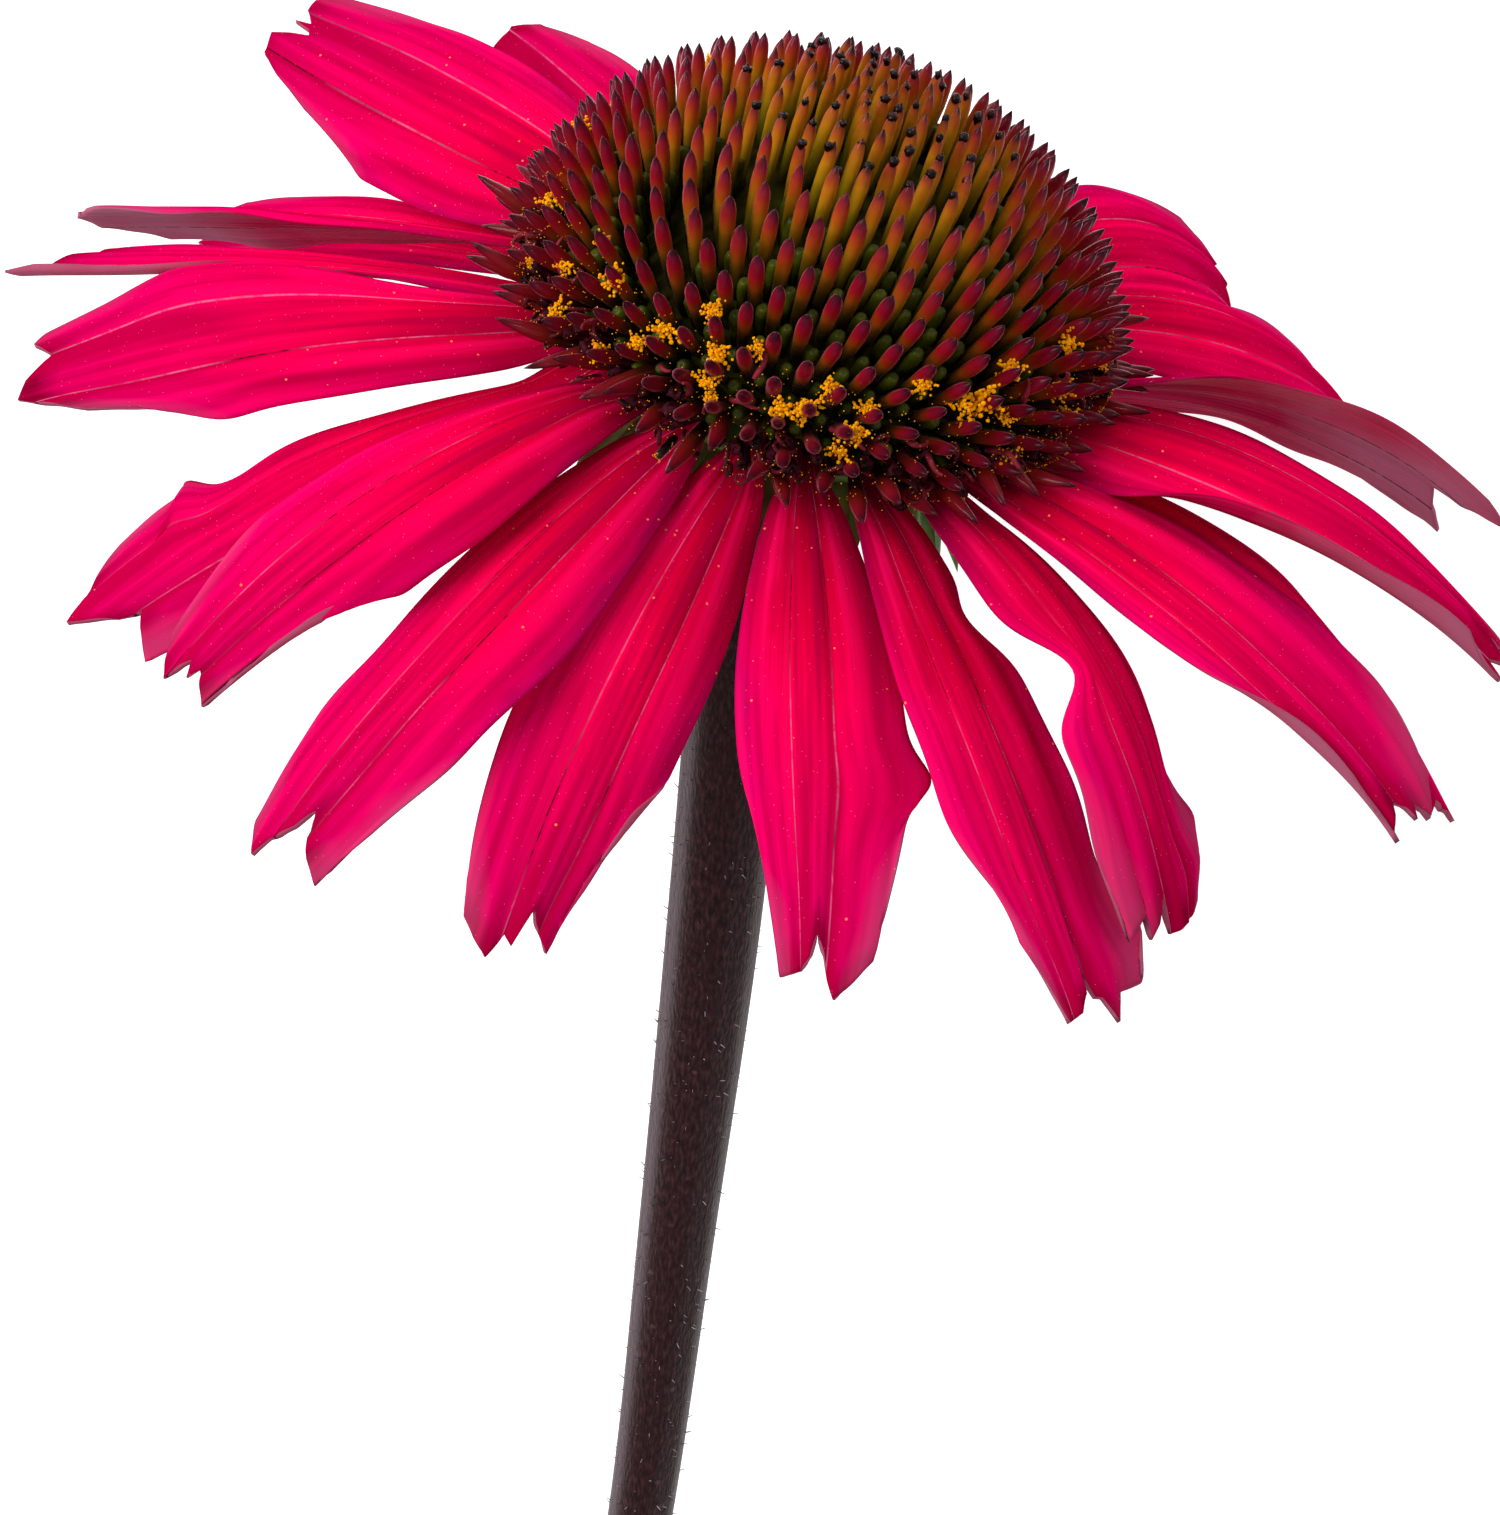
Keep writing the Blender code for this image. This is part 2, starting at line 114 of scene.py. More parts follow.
camera_data = bpy.data.cameras.new("photo_camera")
camera_data.sensor_width = SENSOR
camera_data.lens = SENSOR * focal_pixels / max(PHOTO_WIDTH, PHOTO_HEIGHT)
camera_data.clip_start = 0.05
camera_data.clip_end = 20.0
camera = bpy.data.objects.new("photo_camera", camera_data)
camera.matrix_world = Matrix.Translation(BLOOM @ (towards * CAMERA_DISTANCE)) @ camera_turn.to_4x4()
bpy.context.scene.collection.objects.link(camera)
bpy.context.scene.camera = camera
print("lens", round(camera_data.lens, 1), "mm")

# %% [markdown]
# ## Small helpers
# Blender's operators act on whatever is selected, so everything is deselected before each
# of them. Colours are written as the hex values that a screen shows, and are turned to the
# linear values that the shaders need. One function adds a node with its settings and links,
# and one paints tones over a colour, layer by layer.

# %% Helpers for objects and colours
random = np.random.default_rng(2024)


def deselect():
    bpy.ops.object.select_all(action="DESELECT")


def activate(piece):
    deselect()
    piece.select_set(True)
    bpy.context.view_layer.objects.active = piece


def apply_modifiers(piece):
    activate(piece)
    for modifier in list(piece.modifiers):
        bpy.ops.object.modifier_apply(modifier=modifier.name)


def linear(hex_colour):
    """The linear RGBA of an sRGB hex colour."""
    parts = [int(hex_colour[i:i + 2], 16) / 255 for i in (1, 3, 5)]
    return [p / 12.92 if p <= 0.04045 else ((p + 0.055) / 1.055) ** 2.4 for p in parts] + [1.0]


def add_node(tree, kind, inputs=(), stops=(), **settings):
    """Adds a shader node. Inputs are (socket, value), where a node stands for its first output
    and an output is linked. Stops are (place, colour) of a ramp."""
    made = tree.nodes.new("ShaderNode" + kind)
    for name, value in settings.items():
        setattr(made, name, value)
    for socket, value in inputs:
        if isinstance(value, bpy.types.Node):
            value = value.outputs[0]
        if isinstance(value, bpy.types.NodeSocket):
            tree.links.new(value, made.inputs[socket])
        else:
            made.inputs[socket].default_value = value
    if stops:
        ramp = made.color_ramp
        while len(ramp.elements) < len(stops):
            ramp.elements.new(1.0)
        for element, (place, colour) in zip(ramp.elements, stops):
            element.position = place
            element.color = linear(colour) if isinstance(colour, str) else (colour,) * 3 + (1,)
    return made


def new_material(name, **constants):
    """A material whose Principled shader has its constant values set on its own sockets."""
    material = bpy.data.materials.new(name)
    material.use_nodes = True
    shader = material.node_tree.nodes["Principled BSDF"]
    for socket, value in constants.items():
        shader.inputs[socket.replace("_", " ")].default_value = value
    return material, material.node_tree, shader


def paint_over(tree, colour, layers, blend="MIX"):
    """A colour painted over with layers of (mask, stops of the mask's ramp if any, tone)."""
    for mask, stops, tone in layers:
        if stops:
            mask = add_node(tree, "ValToRGB", [("Fac", mask)], stops)
        if isinstance(tone, str):
            tone = linear(tone)
        colour = add_node(tree, "Mix", ((0, mask), (6, colour), (7, tone)), data_type="RGBA",
                          blend_type=blend).outputs[2]
    return colour


def finish_skin(tree, shader, colour, height, strength, depth):
    """Gives a shader its colour and a fine relief, whose depth is in metres."""
    relief = add_node(tree, "Bump", (("Strength", strength), ("Distance", depth), ("Height", height)))
    tree.links.new(colour, shader.inputs["Base Color"])
    tree.links.new(relief.outputs[0], shader.inputs["Normal"])


# %% Helpers for shapes
def extrude_up(name, sides, profile):
    """A closed solid grown from a circle: extruded up through (height, radius, bow) steps."""
    deselect()
    height, radius, bow = profile[0]
    bpy.ops.mesh.primitive_circle_add(vertices=sides, radius=radius, fill_type="NGON",
                                      location=(bow, 0, height))
    piece = bpy.context.object
    piece.name = name
    bpy.ops.object.transform_apply()
    bpy.ops.object.mode_set(mode="EDIT")
    bpy.ops.mesh.select_all(action="SELECT")
    for below, above in zip(profile, profile[1:]):
        rise, spread, shift = above[0] - below[0], above[1] / below[1], above[2] - below[2]
        bpy.ops.mesh.extrude_region_move(TRANSFORM_OT_translate={"value": (shift, 0, rise)})
        bpy.ops.transform.resize(value=(spread, spread, 1), center_override=(above[2], 0, above[0]))
    bpy.ops.mesh.select_all(action="SELECT")
    bpy.ops.mesh.normals_make_consistent(inside=False)
    bpy.ops.object.mode_set(mode="OBJECT")
    bpy.ops.object.shade_smooth()
    return piece


def get_points(mesh):
    points = np.empty(len(mesh.vertices) * 3)
    mesh.vertices.foreach_get("co", points)
    return points.reshape(-1, 3)


def set_points(mesh, points):
    mesh.vertices.foreach_set("co", np.asarray(points, dtype=float).ravel())
    mesh.update()


def set_uv(mesh, across, along):
    """A UV map with a value across and one along for each point of the mesh."""
    layer = mesh.uv_layers[0] if mesh.uv_layers else mesh.uv_layers.new(name="growth")
    corners = np.empty(len(mesh.loops), dtype=np.int64)
    mesh.loops.foreach_get("vertex_index", corners)
    values = np.column_stack((np.broadcast_to(across, len(mesh.vertices))[corners],
                              np.broadcast_to(along, len(mesh.vertices))[corners]))
    layer.data.foreach_set("uv", values.ravel())


def copy_to(name, template, places):
    """Copies of a template at (transform, tone) places, each its own mesh, joined into one.
    The tone goes into the copy's U, while its V stays the template's."""
    copies = []
    for transform, tone in places:
        mesh = template.data.copy()
        mesh.transform(transform)
        layer = mesh.uv_layers[0]
        values = np.empty(len(mesh.loops) * 2)
        layer.data.foreach_get("uv", values)
        values[0::2] = tone
        layer.data.foreach_set("uv", values)
        piece = bpy.data.objects.new(name, mesh)
        bpy.context.scene.collection.objects.link(piece)
        copies.append(piece)
    deselect()
    for piece in copies:
        piece.select_set(True)
    bpy.context.view_layer.objects.active = copies[0]
    bpy.ops.object.join()
    return bpy.context.object


def finish_piece(piece, name, material_slot, *materials, replaced=()):
    piece.name = name
    piece.data.transform(BLOOM)
    for material in materials:
        piece.data.materials.append(material)
    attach(piece, "root")
    if replaced:
        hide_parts(*replaced)
    piece.data.calc_loop_triangles()
    print(name, len(piece.data.loop_triangles), "triangles")
    return piece


def place_copies(name, template, places, material_slot, skin):
    """Copies of a template, joined into one finished piece. The template is removed."""
    finish_piece(copy_to(name, template, places), name, material_slot, skin)
    bpy.data.objects.remove(template)


def outward(azimuth):
    """Level unit vectors away from the flower's axis; 0 faces up on the lying bloom."""
    azimuth = np.asarray(azimuth, dtype=float)
    return np.stack((np.sin(azimuth), -np.cos(azimuth), np.zeros_like(azimuth)), axis=-1)


def ease(value, start, end):
    t = np.clip((np.asarray(value, dtype=float) - start) / (end - start), 0.0, 1.0)
    return t * t * (3 - 2 * t)


def smooth_curve(table, at):
    """Smooth values through the (place, value) points of a table."""
    x, y = np.array(table, dtype=float).T
    slope = np.gradient(y, x)
    i = np.clip(np.searchsorted(x, at) - 1, 0, len(x) - 2)
    step = x[i + 1] - x[i]
    t = (at - x[i]) / step
    return ((2 * t ** 3 - 3 * t ** 2 + 1) * y[i] + (t ** 3 - 2 * t ** 2 + t) * step * slope[i]
            + (3 * t ** 2 - 2 * t ** 3) * y[i + 1] + (t ** 3 - t ** 2) * step * slope[i + 1])


# %% [markdown]
# ## The rays
# Each ray is a long blade with two grooves, an arched section, and teeth at its end. A
# modeller could sculpt each one, but the twenty-one differ only in where they point and how
# they droop and twist, so one formula bends a flat grid into each of them. The table is the
# one that the solids were made from.

# %% The rays' table
Ray = namedtuple("Ray", "azimuth rise fall length width aside swing roll twist level tip")
RAYS = (
    Ray(-172, 8, -13, 25.0, 9.0, 0, 0, 0, 0, 0, "two"),
    Ray(-149, -11, -8, 32.3, 12.5, 7, 1, 8, -46, -1, "round"),
    Ray(-127, -3, -9, 32.0, 13.0, 4, 4, -15, -34, 1, "two"),
    Ray(-112, -15, -34, 33.0, 10.0, -1, 0, 0, -30, -1.9, "round"),
    Ray(-98.5, -15, -31.5, 37.5, 8.6, -6, -4, 29, 36, 1.8, "three"),
    Ray(-87, -6, -26, 35.5, 8.2, -4, 2, 14, 12, -0.8, "two"),
    Ray(-72, -1, -34, 34.5, 13.0, 1, -2, -6, -18, -0.2, "three"),
    Ray(-56, -11, -44, 36.5, 11.5, 2, 8, 18, -4, -1.5, "left"),
    Ray(-39, -4, -53, 34.5, 9.8, -5, 3, 5, -5, 1, "two"),
    Ray(-22, -16, -52, 38.0, 10.5, -6, -1, -3, 12, 0.4, "two"),
    Ray(-5, -19, -58, 34.3, 10.6, -4, 3, -7, -16, -1, "three"),
    Ray(12, -11, -51, 33.0, 9.8, 6, 6, -2, 32, 0, "two"),
    Ray(29, -10, -32, 37.0, 9.4, 10, 1, -7, -4, 0.6, "two"),
    Ray(43, 17, -55, 36.0, 8.2, 4, 1, -3, -8, -0.5, "three"),
    Ray(56, 20, -31, 38.0, 10.0, 9, -5, 10, 6, 0.8, "two"),
    Ray(71, 12, -37, 38.0, 10.5, 3, 0, 14, -13, -1, "two"),
    Ray(84, 28, -30, 35.5, 10.2, -7, -1, 10, -10, 1.5, "two"),
    Ray(106, 34, -33, 32.8, 9.2, -8, -3, -36, -58, -1.1, "two"),
    Ray(125, 23, -47, 31.5, 10.2, 0, 0, 1, 2, 1.7, "round"),
    Ray(145, 29, -43, 31.8, 11.5, 0, -7, -6, 26, -1.2, "round"),
    Ray(165, 7, -16, 26.5, 9.0, 0, 0, 0, 0, -0.8, "two"),
)
# Each ray's toothed end: (place across, mm past the ray's length) from edge to edge
ROUND = ((-1, -5.8), (-0.72, -2.0), (-0.42, -0.4), (0, -1.2), (0.42, 0), (0.72, -1.8), (1, -5.8))
TWO = ((-1, -5.6), (-0.72, -2.2), (-0.42, 0), (-0.1, -3.0), (0.42, 0.3), (0.72, -2.0), (1, -5.6))
TIPS = (
    TWO,
    ROUND,
    ((-1, -4), (-0.85, -1.7), (-0.6, -0.4), (-0.4, -0.5), (-0.2, -1.6), (-0.15, -0.5), (-0.1, -1.8),
     (-0.02, -2.1), (0.05, -0.9), (0.15, 0.3), (0.45, -0.1), (0.65, -1.9), (0.85, -4.5), (1, -7)),
    ROUND,
    ((-1, -5), (-0.5, -1.5), (0, 0), (0.3, -0.8), (1, -4)),
    ((-1, -7), (-0.6, -4.5), (0, -2.5), (0.5, -1), (0.85, 0.8), (1, -1)),
    ((-1, -4.6), (-0.93, -2), (-0.62, -0.6), (-0.35, -1.6), (-0.03, 0.2), (0.22, 0.9), (0.45, -0.8),
     (0.75, -2.9), (1, -6)),
    ((-1, -5), (-0.8, -3.5), (-0.55, -1.4), (-0.36, 0.2), (0.15, -2.2), (0.3, -3.5), (0.5, -2.8),
     (0.9, -1.8), (1, -4.2)),
    ((-1, -4.2), (-0.8, -2.2), (-0.33, 0), (-0.2, -1.3), (-0.1, -1.9), (0.04, -1), (0.12, -1.8),
     (0.66, -0.4), (0.72, -2.2), (0.85, -5), (1, -8)),
    ((-1, -4.5), (-0.9, -2.2), (-0.45, -0.5), (-0.36, -1.8), (-0.05, -3.2), (0.08, -4.6),
     (0.2, -3.1), (0.45, -2.1), (0.78, -1.2), (0.84, -2.8), (1, -5.5)),
    ((-1, -3), (-0.85, -1), (-0.62, -0.1), (-0.36, 0.7), (-0.2, -0.9), (-0.06, -0.4), (0, -1.7),
     (0.06, -2.8), (0.17, -2.1), (0.56, -0.7), (0.62, -2.5), (0.8, -4.8), (1, -8)),
    ((-1, -4), (-0.85, -0.4), (-0.35, -0.8), (-0.12, -1.7), (0, -2.9), (0.11, -1.7), (0.18, -0.5),
     (0.32, 0.7), (0.62, -0.4), (0.88, -1.6), (1, -4)),
    ((-1, -5), (-0.75, -2.2), (-0.55, 0.1), (-0.25, -0.3), (-0.05, -1.4), (0.02, -2.8), (0.12, -1.2),
     (0.2, -1.1), (0.33, 0.4), (0.45, -1.3), (0.85, -1.8), (1, -4)),
    ((-1, -3), (-0.9, -0.9), (-0.62, -2.3), (-0.56, -0.8), (-0.4, -1.6), (-0.24, -3.2), (-0.12, -0.8),
     (0.5, -1.4), (0.9, -2.5), (1, -4.5)),
    ((-1, -5), (-0.72, -0.5), (-0.4, -1.9), (-0.28, -2.8), (0, -1.9), (0.07, -1.1), (0.15, -1.9),
     (0.35, -0.9), (0.6, -2), (0.85, -3.3), (1, -5.5)),
    ((-1, -6), (-0.4, -2), (0, -2.5), (0.55, -1), (0.75, -0.2), (1, -3.5)),
    ((-1, -4), (-0.5, -0.4), (-0.35, -1.8), (-0.1, -0.8), (0.1, -2.4), (0.6, -0.3), (0.8, -2.1),
     (1, -5)),
    ((-1, -2), (-0.75, 0.2), (-0.3, -2.5), (0, -4), (0.4, -2.5), (0.75, -0.8), (1, -3.5)),
    ((-1, -5), (-0.5, -2), (0, -0.5), (0.5, -2), (1, -6)),
    ((-1, -4), (-0.6, -1.3), (-0.35, 0.3), (-0.1, -1), (0.1, -0.1), (0.3, -1.2), (0.55, 0.3),
     (0.85, -1.5), (1, -3.5)),
    TWO,
)
# Where an edge leaves the even outline: ray, side, place along, reach along, mm outwards
EDGES = (
    (3, -1, 0.90, 0.10, -0.3), (4, 1, 0.60, 0.50, -3.0), (5, -1, 0.30, 0.25, -1.8),
    (6, -1, 0.75, 0.35, 1.2), (6, 1, 0.38, 0.25, -1.8), (7, -1, 0.28, 0.20, -1.8),
    (7, -1, 0.64, 0.20, 2.0), (7, -1, 0.77, 0.10, 1.3), (7, 1, 0.52, 0.30, -1.5),
    (7, 1, 0.97, 0.12, -0.8), (8, -1, 0.70, 0.12, -0.9),
    (8, -1, 0.80, 0.035, 1.3), (9, 1, 0.95, 0.20, -0.6), (9, -1, 0.70, 0.20, 0.5),
    (10, -1, 0.55, 0.25, -1.0), (10, 1, 0.70, 0.15, -0.5), (11, 1, 0.60, 0.30, -0.9),
    (11, 1, 0.95, 0.10, -0.6), (12, -1, 0.95, 0.30, -1.2), (12, 1, 0.66, 0.07, 1.3),
    (13, 1, 0.30, 0.06, -1.5), (13, 1, 0.97, 0.08, 2.2), (13, -1, 0.95, 0.10, -0.5),
    (14, -1, 0.52, 0.08, -3.0), (14, -1, 0.95, 0.15, 1.0), (14, 1, 0.80, 0.12, -1.2),
    (14, 1, 0.93, 0.05, 1.2), (15, -1, 0.95, 0.20, -1.2), (15, 1, 0.88, 0.15, 1.0),
    (15, 1, 0.25, 0.22, -0.8), (16, 1, 0.48, 0.30, 2.2), (16, 1, 0.75, 0.20, 0.8),
    (17, -1, 0.42, 0.28, 2.4), (17, 1, 0.40, 0.30, 0.8), (18, -1, 0.38, 0.28, 1.6),
    (19, -1, 0.60, 0.40, 1.2),
)
# Where the two main veins lie across, for the rays where they aren't at the usual place
VEIN_PLACE = 0.36
VEINS = {9: (-0.3, 0.2), 10: (-0.3, 0.2), 11: (-0.22, 0.3), 12: (-0.34, 0.14), 13: (-0.42, 0.03),
         14: (-0.12, 0.4), 15: (-0.62, -0.22), 8: (-0.55, 0.25)}
# Margins that curl up: ray, side, where across it starts, degrees, and from where to where along
CURLS = (
    (17, -1, 0.48, 110, 0.22, 0.5), (6, 1, 0.55, 120, 0.25, 0.5), (15, -1, 0.45, 60, 0.5, 0.8),
    (13, 1, 0.6, 50, 0.3, 0.45), (7, -1, 0.55, -38, 0.1, 0.4), (16, -1, 0.4, 60, 0.4, 0.8),
    (18, 0, 0.1, 25, 0.2, 0.5), (9, 1, 0.7, -45, 0.2, 0.5), (4, -1, 0.6, -30, 0.2, 0.5),
)
WIDTH_ALONG = ((0.0, 0.16), (0.05, 0.30), (0.11, 0.47), (0.19, 0.63), (0.29, 0.79), (0.43, 0.95),
               (0.57, 1.0), (0.71, 0.99), (0.83, 0.92), (0.92, 0.83), (1.0, 0.72))

# %% [markdown]
# The blade is worked out in three steps: the midrib as a curve that droops evenly, the
# blade's width and teeth along it, and its section with the arch, the two grooves that the
# main veins lie in, some finer pleats and a slight wave at the edges.

# %% The shape of a blade
CLAW_START, CLAW_RADIUS, CLAW_HEIGHT, CLAW_HALF_WIDTH = 9.9, 11.5, -2.3, 0.85  # mm
ASIDE_END = 0.1
LEVEL_STEP, LEVEL_START, LEVEL_END = 0.7, 0.01, 0.17
ARCH = 0.12
GROOVE_WIDTH, GROOVE_DEPTH = 0.11, 0.32  # part of the half width, and mm
PLEAT_DEPTH, PLEATS_ACROSS = 0.035, 5
EDGE_WAVE, WAVE_LENGTH = 0.16, 13.0  # mm
MIDRIB_STEPS = 100


def blade_frames(ray, along):
    """Unit vectors forward, sideways and up from the blade at parts of its length."""
    rise = np.radians(ray.rise + (ray.fall - ray.rise) * along)
    heading = np.radians(ray.azimuth + ray.aside * np.minimum(1.0, along / ASIDE_END)
                         + ray.swing * along)
    upward = np.array((0.0, 0.0, 1.0))
    forward = outward(heading) * np.cos(rise)[:, None] + upward * np.sin(rise)[:, None]
    side = np.stack((np.cos(heading), np.sin(heading), np.zeros_like(heading)), axis=-1)
    normal = np.cross(forward, side)
    turn = np.radians(ray.roll + (ray.twist - ray.roll) * along) * ease(along, 0.0, 0.15)
    turn = turn[:, None]
    return (forward, side * np.cos(turn) + normal * np.sin(turn),
            normal * np.cos(turn) - side * np.sin(turn))


def from_vein_to_vein(number, across):
    """Places across, shifted so that this ray's main veins come to the usual place."""
    left, right = VEINS.get(number, (-VEIN_PLACE, VEIN_PLACE))
    return np.interp(across, (-1, left, right, 1), (-1, -VEIN_PLACE, VEIN_PLACE, 1))


def half_width(number, ray, along, side):
    """The blade's half width in mm on each point's side of the midrib."""
    half = ray.width / 2 * smooth_curve(WIDTH_ALONG, along)
    for ray_number, edge_side, place, reach, out in EDGES:
        if ray_number == number:
            half += (side == edge_side) * out * np.exp(-((along - place) / reach) ** 2)
    return np.maximum(CLAW_HALF_WIDTH, half)


def section(number, across, along, half):
    """Places beside and over the midrib, in mm, of a blade whose margins may curl."""
    beside, over = abs(across) * half, np.zeros_like(across)
    for ray_number, side, start, degrees, begins, full in CURLS:
        if ray_number == number:
            bend = radians(degrees) / (half * (1 - start)) * ease(along, begins, full)
            bend = np.where(abs(bend) < 1e-5, 1e-5, bend)
            beyond = np.maximum(0, abs(across) - start) * half
            here = (beyond > 0) & ((np.sign(across) == side) | (side == 0))
            beside = np.where(here, start * half + np.sin(bend * beyond) / bend, beside)
            over = np.where(here, (1 - np.cos(bend * beyond)) / bend, over)
    return np.sign(across) * beside, over


def blade_points(number, ray, across, along, phase):
    """Points of a blade in mm: across from -1 to 1, along from below 0 in the claw to 1."""
    steps = np.arange(MIDRIB_STEPS) / MIDRIB_STEPS
    strides = blade_frames(ray, steps + 0.5 / MIDRIB_STEPS)[0] * ray.length / MIDRIB_STEPS
    claw = outward(radians(ray.azimuth)) * CLAW_RADIUS + (0, 0, CLAW_HEIGHT)
    foot = outward(radians(ray.azimuth)) * CLAW_START + (0, 0, CLAW_HEIGHT)
    midrib = np.vstack((foot, claw, claw + np.cumsum(strides, axis=0)))
    stations = np.concatenate(([(CLAW_START - CLAW_RADIUS) / ray.length], steps, [1.0]))
    centre = np.column_stack([np.interp(along, stations, axis) for axis in midrib.T])
    inner = np.clip(along, 0.0, 1.0)
    forward, side, normal = blade_frames(ray, inner)
    half = half_width(number, ray, inner, np.sign(across))
    beside, height = section(number, across, inner, half)
    grown = ease(inner, 0.0, 0.2)
    grooves = np.exp(-((abs(from_vein_to_vein(number, across)) - VEIN_PLACE) / GROOVE_WIDTH) ** 2)
    height += -ARCH * 2 * half * across ** 2 * grown
    height -= GROOVE_DEPTH * grooves * ease(inner, 0.02, 0.3) * half / (ray.width / 2)
    height += PLEAT_DEPTH * np.cos(across * pi * PLEATS_ACROSS) * ease(inner, 0.1, 0.5)
    wave = np.sin(2 * pi * inner * ray.length / WAVE_LENGTH + phase + 2.2 * np.sign(across))
    height += EDGE_WAVE * wave * abs(across) ** 3 * ease(inner, 0.25, 0.6)
    height += ray.level * LEVEL_STEP * ease(inner, LEVEL_START, LEVEL_END)
    tooth = np.interp(across, *zip(*TIPS[number - 1])) * ease(inner, 0.5, 1.0)
    return (centre + side * beside[:, None] + forward * tooth[:, None]
            + normal * height[:, None])


# %% [markdown]
# ### The ray's skin
# A living coneflower ray is satin: crimson along the middle, magenta towards its end, dark on
# the tips of the teeth, and painted darker at the claw as painted shade from the cone. Soft bands
# and fine streaks run along it, tiny pale specks are painted sheen, and the two main veins show
# as thin broken lines, brown in places and pale in others. The underside is a dull maroon
# purple, painted grey towards its end, partly its own tone and partly painted sheen. The pattern
# follows the blade, so it is drawn on the blade's UV map.

# %% Materials of the rays
PETAL_IOR = 1.4
VEIN_HALF_WIDTH = 0.012  # part of the half width
CLOUD_SCALE = 110.0  # blotches of about 9 mm
SHEEN_SPECK_SCALE, SHEEN_SPECK_SIZE = 2600.0, 0.07  # painted sheen: pale glints on the cells, 0.4 mm apart
DUST_SCALE, DUST_SIZE, DUST_SHARE = 1700.0, 0.13, 0.25  # pollen, 0.6 mm apart, where there is any
PETAL_RELIEF = 0.0003  # metres
# Streaks along the blade: name, lines across, lengths along, detail
STREAKS = (("band", 11.0, 1.2, 1.0), ("streak", 70.0, 5.0, 3.0), ("dash", 3.0, 60.0, 2.0))


def blade_pattern(tree):
    """Nodes and outputs that each skin of the blade uses, by name."""
    place = add_node(tree, "SeparateXYZ", [("Vector", add_node(tree, "UVMap"))])
    across, along = place.outputs["X"], place.outputs["Y"]
    where = add_node(tree, "TexCoord").outputs["Object"]
    cloud = add_node(tree, "TexNoise", (("Vector", where), ("Scale", CLOUD_SCALE), ("Detail", 3.0)))
    wander = add_node(tree, "Math", enumerate((cloud, 0.8)), operation="MULTIPLY")
    centred = add_node(tree, "Math", enumerate((across, 2.0, -1.0)), operation="MULTIPLY_ADD")
    look = {"centred": centred, "along": along, "where": where, "cloud": cloud}
    for name, lines, lengths, detail in STREAKS:
        wide = add_node(tree, "Math", enumerate((across, lines)), operation="MULTIPLY")
        far = add_node(tree, "Math", enumerate((along, lengths)), operation="MULTIPLY")
        stretch = add_node(tree, "CombineXYZ", enumerate((wide, far, wander)))
        look[name] = add_node(tree, "TexNoise", (("Vector", stretch), ("Scale", 1.0),
                                                 ("Detail", detail)))
    return look


def vein_mask(tree, look):
    """1 on the two main veins, fading off their sides, broken into dashes."""
    wobble = add_node(tree, "Math", enumerate((look["cloud"], 0.03, -0.015)),
                      operation="MULTIPLY_ADD")
    off = look["centred"]
    for operation, *others in (("ABSOLUTE",), ("SUBTRACT", VEIN_PLACE), ("ADD", wobble), ("ABSOLUTE",)):
        off = add_node(tree, "Math", enumerate((off, *others)), operation=operation)
    fade = add_node(tree, "MapRange", (("Value", off), ("From Min", VEIN_HALF_WIDTH * 0.3),
                                       ("From Max", VEIN_HALF_WIDTH * 1.5), ("To Min", 1.0),
                                       ("To Max", 0.0)))
    broken = add_node(tree, "ValToRGB", [("Fac", look["dash"])], ((0.4, 0.35), (0.52, 1.0)))
    return add_node(tree, "Math", enumerate((fade, broken)), operation="MULTIPLY")


def sparse_dust(tree, look):
    """1 on single grains of pollen, fewer the further they lie from the claw."""
    dust = add_node(tree, "TexVoronoi", (("Vector", look["where"]), ("Scale", DUST_SCALE)))
    near_claw = add_node(tree, "ValToRGB", [("Fac", look["along"])], ((0.1, 0.7), (0.6, 0.05)))
    chance = add_node(tree, "SeparateXYZ", [("Vector", dust.outputs["Color"])])
    share = add_node(tree, "Math", enumerate((near_claw, DUST_SHARE)), operation="MULTIPLY")
    kept = add_node(tree, "Math", enumerate((chance, share)), operation="LESS_THAN")
    grain = add_node(tree, "Math", enumerate((dust, DUST_SIZE)), operation="LESS_THAN")
    return add_node(tree, "Math", enumerate((grain, kept)), operation="MULTIPLY")


